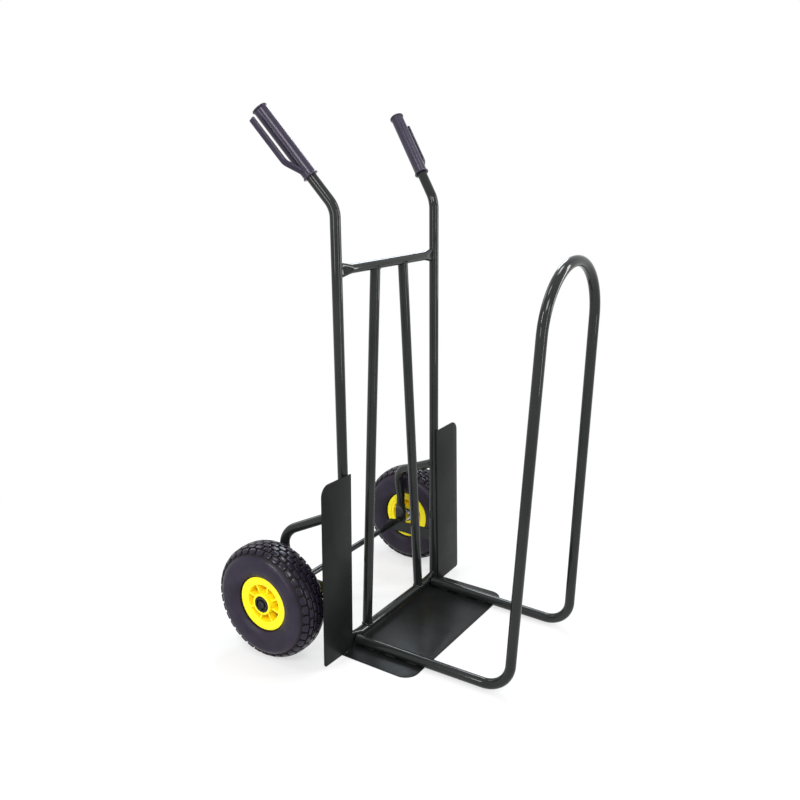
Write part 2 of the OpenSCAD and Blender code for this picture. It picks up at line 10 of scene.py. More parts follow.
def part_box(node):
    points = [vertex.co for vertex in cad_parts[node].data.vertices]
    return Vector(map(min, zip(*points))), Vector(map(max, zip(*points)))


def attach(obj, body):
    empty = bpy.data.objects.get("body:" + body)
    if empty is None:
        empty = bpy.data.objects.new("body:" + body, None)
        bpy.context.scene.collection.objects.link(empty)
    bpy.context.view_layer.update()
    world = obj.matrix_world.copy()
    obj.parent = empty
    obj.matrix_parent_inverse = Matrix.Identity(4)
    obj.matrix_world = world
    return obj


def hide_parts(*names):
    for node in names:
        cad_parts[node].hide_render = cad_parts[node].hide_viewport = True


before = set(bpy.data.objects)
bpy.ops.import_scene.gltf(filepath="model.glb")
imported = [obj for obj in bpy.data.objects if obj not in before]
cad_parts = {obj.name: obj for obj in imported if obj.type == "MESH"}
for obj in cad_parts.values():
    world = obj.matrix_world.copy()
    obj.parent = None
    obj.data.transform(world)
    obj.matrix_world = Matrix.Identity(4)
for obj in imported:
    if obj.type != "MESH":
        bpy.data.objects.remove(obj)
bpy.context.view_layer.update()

bl_info = {
    "name": "Fireside log cart",
    "version": (1, 0, 0),
    "blender": (4, 5, 0),
    "location": "View3D > Sidebar > Log Cart",
    "description": "Builds the log cart's finished pieces round its CAD frame",
    "category": "Object",
}

SIDES = (("left", -1), ("right", 1))


def middle_of(node):
    low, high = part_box(node)
    return (low + high) / 2


# --- Places, as in the part's source ---------------------------------------------------

AXLE = middle_of("axle")
WHEEL_X = middle_of("tyre_right").x
TYRE_R = AXLE.z
TYRE_HALF_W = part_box("tyre_right")[1].x - WHEEL_X
FRAME_Y = 0.0825
LEAN = math.tan(math.radians(0.6))
FRAME_HALF = 0.186
CROSSBAR_H = 0.840
LOWER_BAR_H = middle_of("lower_crossbar").z
PLATE_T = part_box("toe_plate")[1].z
TUBE_R = 0.011
BAR_R = 0.010


def at_frame(x, h):
    """A point on the leaning plane of the frame."""
    return Vector((x, FRAME_Y + h * LEAN, h))


GRIP_TILT = math.radians(38.3)
GRIP_SPLAY = math.radians(21)
GRIP_AXIS = Vector((
    math.sin(GRIP_TILT) * math.sin(GRIP_SPLAY),
    math.sin(GRIP_TILT) * math.cos(GRIP_SPLAY),
    math.cos(GRIP_TILT),
))
HANDLE_CORNER = at_frame(FRAME_HALF, 0.962)
GRIP_RISE = 0.075
GRIP_FOOT = HANDLE_CORNER + GRIP_RISE * GRIP_AXIS
GRIP_LEN = 0.162
BRACKET_X = WHEEL_X - TYRE_HALF_W - 0.004 - TUBE_R


# --- Sizes and colours -----------------------------------------------------------------


def length(name, description, default):
    return FloatProperty(
        name=name, description=description, default=default, min=0, unit="LENGTH"
    )


def colour(name, description, default):
    return FloatVectorProperty(
        name=name, description=description, default=default, min=0, max=1, size=3, subtype="COLOR"
    )


class LogCartSizes(PropertyGroup):
    bead_radius: length("Weld bead", "Radius of the weld beads", 0.0022)
    ripple: length("Weld ripple", "Length of one ripple of a weld bead", 0.0021)
    plate_edge: length("Plate edge", "Rounding of the cut edges of the plates", 0.0007)
    lug_edge: length("Lug edge", "Rounding of the edges of the tread's lugs", 0.0008)
    grip_edge: length("Grip edge", "Rounding of the moulded edges of the grips", 0.0016)
    rim_edge: length("Rim edge", "Rounding of the moulded edges of the rims", 0.0012)
    tube_sides: IntProperty(
        name="Tube sides", description="Faces round a tube", default=48, min=12, max=96
    )
    wheel_sides: IntProperty(
        name="Wheel sides", description="Faces round a wheel", default=180, min=48, max=360
    )


class LogCartColours(PropertyGroup):
    coat: colour("Tube coat", "Powder coat of the tubes", (0.010, 0.0115, 0.0115))
    coat_light: colour("Tube coat, light", "Clouds in the tubes' coat", (0.016, 0.018, 0.0175))
    plate: colour("Plate coat", "Powder coat of the plates", (0.007, 0.0075, 0.0075))
    plate_light: colour("Plate coat, light", "Clouds in the plates' coat", (0.012, 0.013, 0.013))
    grip: colour("Grip", "Moulded plastic of the grips", (0.017, 0.012, 0.029))
    grip_light: colour("Grip, light", "Lighter grain of the grips", (0.028, 0.021, 0.042))
    tyre: colour("Tyre", "Rubber of the tyres", (0.009, 0.007, 0.015))
    tyre_dust: colour("Tyre dust", "Dull film on the tyres", (0.023, 0.017, 0.033))
    rim: colour("Rim", "Moulded plastic of the rims", (1.0, 0.86, 0.012))
    # Painted shade and bounce light: the orange laid on towards the bottom of the rims' pockets
    rim_pocket_shade: colour("Rim, deep", "Rims at the bottom of their pockets", (1.0, 0.68, 0.006))
    cap: colour("Cap", "Plastic of the hub caps", (0.003, 0.003, 0.004))
    zinc: colour("Zinc", "Plated washers and sleeves", (0.62, 0.63, 0.65))
    floor: colour("Floor", "Studio floor", (0.82, 0.82, 0.82))


def sizes():
    return bpy.context.scene.log_cart_sizes


def colours():
    return bpy.context.scene.log_cart_colours


# --- Node trees ------------------------------------------------------------------------


class Nodes:
    """Short ways to add, set and join the nodes of a tree."""

    def __init__(self, tree):
        self.tree = tree

    def add(self, kind, feeds=None, **values):
        """A new node. Each of its feeds is a constant or another node's output."""
        node = self.tree.nodes.new(kind)
        for key, value in values.items():
            setattr(node, key, value)
        for key, value in (feeds or {}).items():
            self.feed(node.inputs[key], value)
        return node

    def feed(self, socket, value):
        if isinstance(value, bpy.types.NodeSocket):
            self.tree.links.new(value, socket)
        elif value is not None:
            socket.default_value = value

    def maths(self, operation, a, b=None):
        return self.add("ShaderNodeMath", {0: a, 1: b}, operation=operation).outputs[0]

    def ranged(self, value, low, high, to_low, to_high, **values):
        """The value with low to high stretched over to_low to to_high, and held there."""
        feeds = {0: value, "From Min": low, "From Max": high, "To Min": to_low, "To Max": to_high}
        return self.add("ShaderNodeMapRange", feeds, **values).outputs[0]

    def apart(self, vector):
        return self.add("ShaderNodeSeparateXYZ", {0: vector}).outputs


# --- Finishes --------------------------------------------------------------------------


class Finish(Nodes):
    """A new material with its nodes, on the object's own coordinates."""

    def __init__(self, name, **constants):
        self.material = bpy.data.materials.new(name)
        self.material.use_nodes = True
        super().__init__(self.material.node_tree)
        self.tree.nodes.clear()
        feeds = {key.replace("_", " "): value for key, value in constants.items()}
        self.shader = self.add("ShaderNodeBsdfPrincipled", feeds)
        self.add("ShaderNodeOutputMaterial", {0: self.shader.outputs[0]})
        self.place = self.add("ShaderNodeTexCoord").outputs["Object"]

    def noise(self, scale, detail):
        """Values of a noise pattern, from about 0.3 to 0.7."""
        feeds = {"Vector": self.place, "Scale": scale, "Detail": detail, "Roughness": 0.5}
        return self.add("ShaderNodeTexNoise", feeds).outputs[0]

    def patches(self, scale, detail, low, high):
        """Soft patches whose values run from low to high."""
        return self.ranged(self.noise(scale, detail), 0.35, 0.65, low, high)

    def mixed(self, factor, a, b):
        """A colour between a and b, each of them a constant or a node's output."""
        node = self.add("ShaderNodeMix", {0: factor}, data_type="RGBA")
        for socket, value in ((node.inputs[6], a), (node.inputs[7], b)):
            self.feed(socket, value if isinstance(value, bpy.types.NodeSocket) else (*value, 1))
        return node.outputs[2]

    def surface(self, tone, roughness):
        self.feed(self.shader.inputs["Base Color"], tone)
        self.feed(self.shader.inputs["Roughness"], roughness)

    def bump(self, height, distance, strength):
        """Lays a bump over those before it."""
        node = self.add("ShaderNodeBump", {"Height": height, "Distance": distance, "Strength": strength})
        normal = self.shader.inputs["Normal"]
        if normal.is_linked:
            self.feed(node.inputs["Normal"], normal.links[0].from_socket)
        self.feed(normal, node.outputs[0])

    def from_axle(self):
        """Distance from the axle's line, in the plane of a wheel."""
        parts = self.apart(self.place)
        dy = self.maths("SUBTRACT", parts[1], AXLE.y)
        dz = self.maths("SUBTRACT", parts[2], AXLE.z)
        squares = self.maths("ADD", self.maths("MULTIPLY", dy, dy), self.maths("MULTIPLY", dz, dz))
        return self.maths("SQRT", squares)

    def from_middle(self):
        """Distance from the cart's middle plane."""
        return self.maths("ABSOLUTE", self.apart(self.place)[0])


PEEL = 420  # scale of the orange peel


def coated_finish(name, dark, light, roughness, level, gloss):
    """Powder coat, made once: faint clouds of tone, a fine orange peel and a changing gloss."""
    found = bpy.data.materials.get(name)
    if found:
        return found
    finish = Finish(name, Specular_IOR_Level=level, Coat_Weight=gloss[0], Coat_Roughness=gloss[1])
    tone = finish.mixed(finish.patches(9, 4, 0, 1), dark, light)
    finish.surface(tone, finish.patches(38, 3, *roughness))
    finish.bump(finish.noise(PEEL, 2), 0.00004, 0.15)
    finish.bump(finish.noise(PEEL * 3.1, 2), 0.00002, 0.12)
    return finish.material


def coat():
    """The tubes' coat."""
    return coated_finish(
        "tube_powder_coat", colours().coat, colours().coat_light, (0.15, 0.22), 0.05, (0.45, 0.045)
    )


def plate_coat():
    """The duller coat of the toe plate and the wheel guards."""
    return coated_finish(
        "plate_powder_coat", colours().plate, colours().plate_light, (0.32, 0.42), 0.08, (0.05, 0.2)
    )


def grip_finish():
    """Moulded plastic with a fine spark-eroded grain."""
    finish = Finish("grip_grain", Specular_IOR_Level=0.26, Coat_Weight=0.1, Coat_Roughness=0.1)
    grain = finish.noise(900, 2)
    factor = finish.maths("ADD", finish.ranged(grain, 0.4, 0.62, 0, 0.3), finish.patches(26, 3, 0, 0.7))
    tone = finish.mixed(factor, colours().grip, colours().grip_light)
    finish.surface(tone, finish.ranged(grain, 0.35, 0.65, 0.26, 0.34))
    finish.bump(grain, 0.00003, 0.1)
    return finish.material


def tyre_finish():
    """Rubber: a dull film on the walls, glossier lugs, painted shade in the gaps between them and a
    painted shadow ring next to the rim, fine mould rings.
    """
    finish = Finish("tyre_rubber", Specular_IOR_Level=0.2)
    maths, ranged = finish.maths, finish.ranged
    radius = finish.from_axle()
    offset = maths("ABSOLUTE", maths("SUBTRACT", finish.from_middle(), WHEEL_X))
    # How near the oval section's outside a point is: 1 on it, less below it
    height = maths("MAXIMUM", maths("DIVIDE", maths("SUBTRACT", radius, MID_R), HALF_H), 0.0)
    breadth = maths("DIVIDE", offset, TYRE_HALF_W)
    level = maths("ADD", maths("POWER", height, TREAD_N), maths("POWER", breadth, TREAD_N))
    on_tread = ranged(radius, 0.104, 0.112, 0, 1)
    # Painted shade: the gaps between the lugs are coloured near black, more faintly past the shoulder
    # rows
    in_rows = maths("MULTIPLY", on_tread, ranged(offset, 0.0385, 0.0325, 0.25, 1))
    gap = maths("MULTIPLY", ranged(level, 0.975, 0.87, 0, 1), in_rows)
    film = maths(
        "MULTIPLY", ranged(finish.noise(30, 4), 0.36, 0.66, 0.45, 1),
        ranged(radius, TYRE_R - 0.004, TYRE_R - 0.020, 0.25, 1),
    )
    rubber = finish.mixed(film, colours().tyre, colours().tyre_dust)
    # Painted shadow: a dark ring on the tyre's wall next to the rim's flange
    painted_rim_shadow = ranged(radius, 0.0650, 0.0630, 0, 1)
    painted_shade = maths("MAXIMUM", gap, painted_rim_shadow)
    dull = maths("ADD", ranged(on_tread, 0, 1, 0.46, 0.2), finish.patches(70, 3, -0.05, 0.05))
    # Near black where the shade and the shadow are painted, and rougher there
    finish.surface(
        finish.mixed(painted_shade, rubber, (0.003, 0.0012, 0.0016)),
        maths("ADD", dull, maths("MULTIPLY", painted_shade, 0.4)),
    )
    ring_pitch = 0.0016
    rings = maths("SINE", maths("MULTIPLY", radius, 2 * math.pi / ring_pitch))
    on_wall = ranged(radius, TYRE_R - 0.022, TYRE_R - 0.026, 0, 1)
    finish.bump(maths("MULTIPLY", rings, on_wall), 0.00003, 0.4)
    finish.bump(finish.noise(700, 3), 0.00010, 0.25)
    return finish.material


def rim_finish():
    """Yellow plastic with painted shade and bounce light: it deepens to orange towards the bottom of the
    pockets.
    """
    finish = Finish("rim_plastic", Specular_IOR_Level=0.22)
    face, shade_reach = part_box("rim_right")[1].x, 0.026
    inboard = 2 * WHEEL_X - face
    across = finish.from_middle()
    # Painted shade and bounce light: the orange deepens from each face inwards over the pockets' depth
    depth = finish.maths(
        "MINIMUM", finish.ranged(across, face, face - shade_reach, 0, 1),
        finish.ranged(across, inboard, inboard + shade_reach, 0, 1),
    )
    factor = finish.maths("ADD", depth, finish.patches(60, 4, -0.06, 0.06))
    tone = finish.mixed(factor, colours().rim, colours().rim_pocket_shade)
    finish.surface(tone, finish.patches(120, 3, 0.28, 0.42))
    finish.bump(finish.noise(520, 2), 0.00006, 0.3)
    return finish.material


def cap_finish():
    """Glossy black plastic."""
    finish = Finish("cap_plastic", Specular_IOR_Level=0.26)
    black = colours().cap
    tone = finish.mixed(finish.patches(90, 3, 0, 1), black, tuple(3 * c for c in black))
    finish.surface(tone, finish.patches(160, 3, 0.07, 0.12))
    finish.bump(finish.noise(420, 2), 0.00004, 0.25)
    return finish.material


def rubber_finish():
    """Butyl rubber of the inner tubes with a talc film, made once."""
    name = "inner_tube_rubber"
    if name in bpy.data.materials:
        return bpy.data.materials[name]
    finish = Finish(name, Specular_IOR_Level=0.4)
    film = finish.ranged(finish.noise(55, 5), 0.4, 0.7, 0, 1)
    tone = finish.mixed(film, (0.012, 0.012, 0.013), (0.05, 0.05, 0.05))
    finish.surface(tone, finish.patches(200, 3, 0.45, 0.6))
    finish.bump(finish.noise(500, 2), 0.00008, 0.4)
    return finish.material


def bush_finish():
    """Plain black nylon of the hub bushes."""
    finish = Finish("bush_nylon", Specular_IOR_Level=0.45)
    tone = finish.mixed(finish.patches(80, 3, 0, 1), (0.010, 0.010, 0.011), (0.022, 0.022, 0.024))
    finish.surface(tone, finish.patches(240, 2, 0.34, 0.46))
    finish.bump(finish.noise(600, 2), 0.00005, 0.3)
    return finish.material


def zinc_finish():
    """Zinc plate with a faint spangle and the marks of its turning."""
    finish = Finish("pressed_zinc", Metallic=1.0)
    zinc = colours().zinc
    tone = finish.mixed(finish.patches(140, 4, 0, 1), zinc, tuple(0.72 * c for c in zinc))
    finish.surface(tone, finish.patches(60, 3, 0.24, 0.38))
    finish.bump(finish.noise(1400, 2), 0.00003, 0.35)
    return finish.material


# --- Meshes ----------------------------------------------------------------------------


def new_object(name, mesh):
    piece = bpy.data.objects.new(name, mesh)
    bpy.context.scene.collection.objects.link(piece)
    return piece


def mesh_of(name, points, faces):
    mesh = bpy.data.meshes.new(name)
    mesh.from_pydata([tuple(p) for p in points], [], faces)
    mesh.validate()
    return mesh


def line_mesh(name, lines):
    """Edges through lists of points; a line is (points, closed)."""
    points, edges = [], []
    for line, closed in lines:
        first = len(points)
        points.extend(tuple(p) for p in line)
        edges.extend((first + i, first + i + 1) for i in range(len(line) - 1))
        if closed:
            edges.append((len(points) - 1, first))
    mesh = bpy.data.meshes.new(name)
    mesh.from_pydata(points, edges, [])
    return mesh


def circle_points(count):
    return [(math.cos(2 * math.pi * i / count), math.sin(2 * math.pi * i / count)) for i in range(count)]


def smooth(t):
    """0 to 1 with an easy start and end."""
    return t * t * (3 - 2 * t)


def signed_power(value, power):
    return math.copysign(abs(value) ** power, value)


def moved(mesh, matrix):
    """The mesh after a move; a mirroring move turns its faces back outwards."""
    mesh = mesh.copy()
    mesh.transform(matrix)
    if matrix.determinant() < 0:
        mesh.flip_normals()
    return mesh


def joined(name, meshes):
    whole = bmesh.new()
    for mesh in meshes:
        whole.from_mesh(mesh)
    mesh = bpy.data.meshes.new(name)
    whole.to_mesh(mesh)
    whole.free()
    return mesh


def outwards(mesh):
    """Merges doubled points and turns every face outwards."""
    work = bmesh.new()
    work.from_mesh(mesh)
    bmesh.ops.remove_doubles(work, verts=work.verts, dist=1e-6)
    bmesh.ops.recalc_face_normals(work, faces=work.faces)
    work.to_mesh(mesh)
    work.free()
    return mesh


def add_piece(name, mesh, material, body, slot, *nodes, sharp=35):
    """One finished piece of the cart, smooth but for its real edges."""
    mesh.materials.clear()
    mesh.materials.append(material)
    mesh.polygons.foreach_set("use_smooth", [True] * len(mesh.polygons))
    mesh.polygons.foreach_set("material_index", [0] * len(mesh.polygons))
    mesh.set_sharp_from_angle(angle=math.radians(sharp))
    mesh.update()
    piece = new_object(name, mesh)
    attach(piece, body)
    if nodes:
        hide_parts(*nodes)
    return piece


MIRROR = Matrix.Scale(-1, 4, (1, 0, 0))


def on_side(mesh, side):
    """A mesh made for the right side, on the side asked for."""
    return moved(mesh, MIRROR) if side < 0 else mesh.copy()


def add_pair(name, mesh, material, body, slot, node=None, sharp=35):
    """A piece made for the right side, and its mirror image. A wheel's piece rides on its own wheel."""
    for side_name, side in SIDES:
        rides_on = f"wheel_{side_name}" if body == "wheel" else body
        nodes = [f"{node}_{side_name}"] if node else []
        own = on_side(mesh, side)
        add_piece(f"{name}_{side_name}", own, material, rides_on, slot, *nodes, sharp=sharp)


def repaint(material, *nodes):
    """Gives CAD nodes that stay their finished material."""
    for node in nodes:
        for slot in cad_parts[node].material_slots:
            slot.material = material


def evaluated(holder):
    """The object's mesh as its modifiers make it."""
    bpy.context.view_layer.update()
    return bpy.data.meshes.new_from_object(holder.evaluated_get(bpy.context.evaluated_depsgraph_get()))


def bevelled(mesh, width, angle=40, segments=3):
    """The mesh with its hard edges rounded."""
    holder = new_object("bevel_work", mesh)
    modifier = holder.modifiers.new("edge", "BEVEL")
    modifier.width = width
    modifier.segments = segments
    modifier.limit_method = "ANGLE"
    modifier.angle_limit = math.radians(angle)
    modifier.harden_normals = False
    result = evaluated(holder)
    bpy.data.objects.remove(holder)
    return result


def filleted(route, radii, step=2.5):
    """Points along a route of straight runs joined by bends."""
    points = [route[0]]
    for i, radius in enumerate(radii, 1):
        u = (route[i] - route[i - 1]).normalized()
        v = (route[i + 1] - route[i]).normalized()
        turn = u.angle(v)
        inward = (v - u * u.dot(v)).normalized()
        start = route[i] - u * radius * math.tan(turn / 2)
        count = max(2, round(math.degrees(turn) / step))
        for k in range(count + 1):
            a = turn * k / count
            points.append(start + radius * (math.sin(a) * u + (1 - math.cos(a)) * inward))
    points.append(route[-1])
    return points


def evenly(a, b, count):
    return [a + (b - a) * i / count for i in range(count + 1)]


def lofted(name, rings):
    """A closed skin over rings of points, with a cap on each end."""
    n = len(rings[0])
    points = [p for ring in rings for p in ring]
    faces = [
        (k * n + i, k * n + (i + 1) % n, (k + 1) * n + (i + 1) % n, (k + 1) * n + i)
        for k in range(len(rings) - 1) for i in range(n)
    ]
    faces.append(tuple(reversed(range(n))))
    faces.append(tuple(range((len(rings) - 1) * n, len(rings) * n)))
    return outwards(mesh_of(name, points, faces))


def turned_profile(name, profile, sides, closed=True):
    """A body turned about local Z from (radius, height) points. Points on the axis close it."""
    points, faces, rows = [], [], []
    for radius, height in profile:
        if radius < 1e-7:
            rows.append([len(points)])
            points.append((0, 0, height))
        else:
            rows.append(list(range(len(points), len(points) + sides)))
            points.extend((radius * c, radius * s, height) for c, s in circle_points(sides))
    pairs = list(zip(rows, rows[1:] + ([rows[0]] if closed else [])))
    for a, b in pairs:
        for i in range(sides):
            j = (i + 1) % sides
            if len(a) > 1 and len(b) > 1:
                faces.append((a[i], a[j], b[j], b[i]))
            elif len(a) > 1:
                faces.append((a[i], a[j], b[0]))
            elif len(b) > 1:
                faces.append((a[0], b[j], b[i]))
    return outwards(mesh_of(name, points, faces))


def rounded_profile(corners, radius, steps=4):
    """A closed outline of (radius, height) corners with each corner rounded."""
    result = []
    count = len(corners)
    for i, corner in enumerate(corners):
        p = Vector(corner)
        a = Vector(corners[i - 1]) - p
        b = Vector(corners[(i + 1) % count]) - p
        reach = min(radius, 0.45 * a.length, 0.45 * b.length)
        start, end = p + a.normalized() * reach, p + b.normalized() * reach
        for k in range(steps + 1):
            t = k / steps
            result.append(tuple((1 - t) ** 2 * start + 2 * t * (1 - t) * p + t * t * end))
    return result


# --- Geometry Nodes --------------------------------------------------------------------


class Grower(Nodes):
    """A Geometry Nodes tree with named inputs, run once to give a plain mesh."""

    def __init__(self, name, inputs):
        super().__init__(bpy.data.node_groups.new(name, "GeometryNodeTree"))
        new_socket = self.tree.interface.new_socket
        inputs = [("Geometry", "Geometry", None), *inputs, ("Material", "Material", None)]
        for label, kind, default in inputs:
            socket = new_socket(label, in_out="INPUT", socket_type="NodeSocket" + kind)
            if default is not None:
                socket.default_value = default
        new_socket("Geometry", in_out="OUTPUT", socket_type="NodeSocketGeometry")
        self.source = self.add("NodeGroupInput")

    def value(self, label):
        return self.source.outputs[label]

    def line(self):
        """The mesh that the tree is run on, as a curve."""
        return self.add("GeometryNodeMeshToCurve", {0: self.value("Geometry")}).outputs[0]

    def vector(self, x, y, z):
        return self.add("ShaderNodeCombineXYZ", {0: x, 1: y, 2: z}).outputs[0]

    def swept(self, line, sides):
        """Ends the tree in a round skin of its Radius along a line, closed at both ends."""
        feeds = {"Resolution": sides, "Radius": self.value("Radius")}
        circle = self.add("GeometryNodeCurvePrimitiveCircle", feeds).outputs[0]
        feeds = {"Curve": line, "Profile Curve": circle, "Fill Caps": True}
        return self.close(self.add("GeometryNodeCurveToMesh", feeds).outputs[0])

    def close(self, geometry):
        """Ends the tree in Realize Instances and Set Material."""
        realized = self.add("GeometryNodeRealizeInstances", {0: geometry}).outputs[0]
        feeds = {"Geometry": realized, "Material": self.value("Material")}
        self.add("NodeGroupOutput", {0: self.add("GeometryNodeSetMaterial", feeds).outputs[0]})
        return self

    def grow(self, mesh, **values):
        """Runs the tree on a mesh with these inputs and returns the new mesh."""
        holder = new_object("growing", mesh)
        modifier = holder.modifiers.new("grow", "NODES")
        modifier.node_group = self.tree
        keys = {
            item.name: item.identifier
            for item in self.tree.interface.items_tree
            if item.item_type == "SOCKET" and item.in_out == "INPUT"
        }
        for label, value in values.items():
            modifier[keys[label.replace("_", " ")]] = value
        result = evaluated(holder)
        holder.modifiers.remove(modifier)
        bpy.data.objects.remove(holder)
        return result


def bent_tube_tree():
    """A round tube along the line of its mesh, closed at both ends."""
    grower = Grower("Bent tube", [("Radius", "Float", 0.011), ("Sides", "Int", 48)])
    return grower.swept(grower.line(), grower.value("Sides"))


def weld_bead_tree():
    """A rippled weld bead along the line of its mesh."""
    grower = Grower("Weld bead", [
        ("Radius", "Float", 0.002), ("Ripple", "Float", 0.002), ("Depth", "Float", 0.16),
        ("Seed", "Float", 0.0),
    ])
    maths, ripple = grower.maths, grower.value("Ripple")
    feeds = {"Curve": grower.line(), "Length": maths("DIVIDE", ripple, 5.0)}
    fine = grower.add("GeometryNodeResampleCurve", feeds, mode="LENGTH").outputs[0]
    along = grower.add("GeometryNodeSplineParameter").outputs["Length"]
    phase = maths("MULTIPLY", maths("DIVIDE", along, ripple), 2 * math.pi)
    feeds = {"Scale": 240, "W": grower.value("Seed")}
    noise = grower.add("ShaderNodeTexNoise", feeds, noise_dimensions="4D").outputs[0]
    wave = maths("MULTIPLY", maths("SINE", phase), grower.value("Depth"))
    uneven = maths("MULTIPLY", noise, 0.35)
    widened = maths("ADD", maths("ADD", wave, uneven), 0.83)
    swollen = grower.add("GeometryNodeSetCurveRadius", {"Curve": fine, "Radius": widened}).outputs[0]
    return grower.swept(swollen, 10)


def lug_row_tree():
    """A row of lugs wrapped on the tyre. The mesh is the tyre's half section as a line of
    (radius, across) points, and Lug is one flat lug: X along, Y from 0 to 1 across, Z out."""
    grower = Grower("Lug row", [
        ("Lug", "Object", None), ("Count", "Int", 36), ("Offset", "Float", 0.0),
        ("From", "Float", 0.0), ("To", "Float", 0.01), ("Tread radius", "Float", 0.13),
        ("Outboard", "Float", 1.0),
    ])
    maths, value, vector = grower.maths, grower.value, grower.vector
    section = grower.line()
    pitch = maths("DIVIDE", maths("MULTIPLY", value("Tread radius"), 2 * math.pi), value("Count"))
    start = vector(maths("MULTIPLY", pitch, value("Offset")), 0.0, 0.0)
    row = grower.add("GeometryNodeMeshLine", {
        "Count": value("Count"), "Start Location": start, "Offset": vector(pitch, 0.0, 0.0),
    }).outputs[0]
    lug = grower.add("GeometryNodeObjectInfo", {"Object": value("Lug")}).outputs["Geometry"]
    spread = grower.add("GeometryNodeInstanceOnPoints", {"Points": row, "Instance": lug}).outputs[0]
    flat = grower.add("GeometryNodeRealizeInstances", {0: spread}).outputs[0]
    x, y, z = grower.apart(grower.add("GeometryNodeInputPosition").outputs[0])
    reach = maths("SUBTRACT", value("To"), value("From"))
    station = maths("ADD", value("From"), maths("MULTIPLY", y, reach))
    feeds = {"Curves": section, "Length": station}
    sample = grower.add("GeometryNodeSampleCurve", feeds, mode="LENGTH").outputs
    radius, across, _ = grower.apart(sample["Position"])
    along_r, along_a, _ = grower.apart(sample["Tangent"])
    out_r = maths("ADD", radius, maths("MULTIPLY", along_a, z))
    out_a = maths("SUBTRACT", across, maths("MULTIPLY", along_r, z))
    angle = maths("DIVIDE", x, value("Tread radius"))
    place = vector(
        maths("MULTIPLY", out_r, maths("COSINE", angle)), maths("MULTIPLY", out_r, maths("SINE", angle)),
        maths("MULTIPLY", out_a, value("Outboard")),
    )
    wrapped = grower.add("GeometryNodeSetPosition", {"Geometry": flat, "Position": place})
    return grower.close(wrapped.outputs[0])


def ring_tree():
    """Copies of its mesh, set evenly round local Z."""
    grower = Grower("Ring of copies", [("Count", "Int", 8), ("Turn", "Float", 0.0)])
    row = grower.add("GeometryNodeMeshLine", {"Count": grower.value("Count"), "Offset": (0, 0, 0)})
    index = grower.add("GeometryNodeInputIndex").outputs[0]
    step = grower.maths("DIVIDE", 2 * math.pi, grower.value("Count"))
    angle = grower.maths("ADD", grower.maths("MULTIPLY", index, step), grower.value("Turn"))
    spread = grower.add("GeometryNodeInstanceOnPoints", {
        "Points": row.outputs[0], "Instance": grower.value("Geometry"),
        "Rotation": grower.vector(0.0, 0.0, angle),
    })
    return grower.close(spread.outputs[0])


# --- Frame -----------------------------------------------------------------------------


def frame_tube(tree, line):
    """A coated tube along a line of points."""
    mesh = line_mesh("line", [(line, False)])
    return tree.grow(mesh, Radius=TUBE_R, Sides=sizes().tube_sides, Material=coat())


def upright_line():
    end = HANDLE_CORNER + (GRIP_RISE + GRIP_LEN - 0.0041) * GRIP_AXIS
    return filleted([at_frame(FRAME_HALF, PLATE_T + 0.0002), HANDLE_CORNER, end], [0.055])


def slat_ends():
    foot = at_frame(0.110, LOWER_BAR_H + 0.006)
    head = at_frame(0.053, CROSSBAR_H - 0.006)
    return foot, head


class LOGCART_OT_frame_tubes(Operator):
    """Two bent uprights and the two slats between the crossbars"""
    bl_idname = "log_cart.frame_tubes"
    bl_label = "Frame tubes"

    def execute(self, context):
        tree = bent_tube_tree()
        for name, line in (("upright", upright_line()), ("slat", list(slat_ends()))):
            add_pair(f"{name}_tube", frame_tube(tree, line), coat(), "frame", "powder_coat", name)
        return {"FINISHED"}


def squeezed_ring(x, squeeze, count=48):
    """Section of a crossbar at x. Squeeze runs from 0, round, to 1, pressed flat."""
    half_height, half_thickness, dish_reach = 0.015, 0.005, 0.0115
    ring = []
    for c, s in circle_points(count):
        flat_z = half_height * signed_power(s, 0.85)
        dish = 0.22 * max(0.0, 1 - (flat_z / dish_reach) ** 2) ** 2
        flat_y = half_thickness * signed_power(c, 0.55) * (1 - dish)
        y = BAR_R * c * (1 - squeeze) + flat_y * squeeze
        z = BAR_R * s * (1 - squeeze) + flat_z * squeeze
        ring.append(Vector((x, y, z)))
    return ring


def crossbar_mesh(h):
    end = FRAME_HALF - 0.0085
    start, flat = FRAME_HALF - 0.046, end - 0.006
    right = evenly(start, flat, 16) + [end]
    rings = []
    for x in [-x for x in reversed(right)] + right:
        t = min(1.0, max(0.0, (abs(x) - start) / (flat - start)))
        squeeze = 0.7 * t + 0.3 * smooth(t)
        rings.append([p + at_frame(0, h) for p in squeezed_ring(x, squeeze)])
    return lofted("crossbar", rings)


class LOGCART_OT_crossbars(Operator):
    """The two crossbars, round tubes pressed flat where they meet the uprights"""
    bl_idname = "log_cart.crossbars"
    bl_label = "Crossbars"

    def execute(self, context):
        for name, h in (("top", CROSSBAR_H), ("lower", LOWER_BAR_H)):
            node = f"{name}_crossbar"
            add_piece(f"{node}_tube", crossbar_mesh(h), coat(), "frame", "powder_coat", node)
        return {"FINISHED"}


def plate_mesh(name, outline, thickness):
    """A flat plate on an outline of (x, y) points, from z 0 up."""
    n = len(outline)
    points = [(x, y, 0) for x, y in outline] + [(x, y, thickness) for x, y in outline]
    faces = [(i, (i + 1) % n, n + (i + 1) % n, n + i) for i in range(n)]
    faces += [tuple(reversed(range(n))), tuple(range(n, 2 * n))]
    return outwards(mesh_of(name, points, faces))


def quarter(cx, cy, r, start, steps=10):
    """Points of a quarter circle that starts at an angle, in degrees."""
    angles = [math.radians(start + 90 * i / steps) for i in range(steps + 1)]
    return [(cx + r * math.cos(a), cy + r * math.sin(a)) for a in angles]


TOE_CORNER_R = 0.032
GUARD_TOP, GUARD_FOOT, GUARD_TURN = 0.413, 0.005, math.radians(1.5)
GUARD_IN = FRAME_HALF - 0.0055
GUARD_W, GUARD_T = 0.100, 0.003
GUARD_FOOT_R, GUARD_TOP_R = 0.007, 0.024


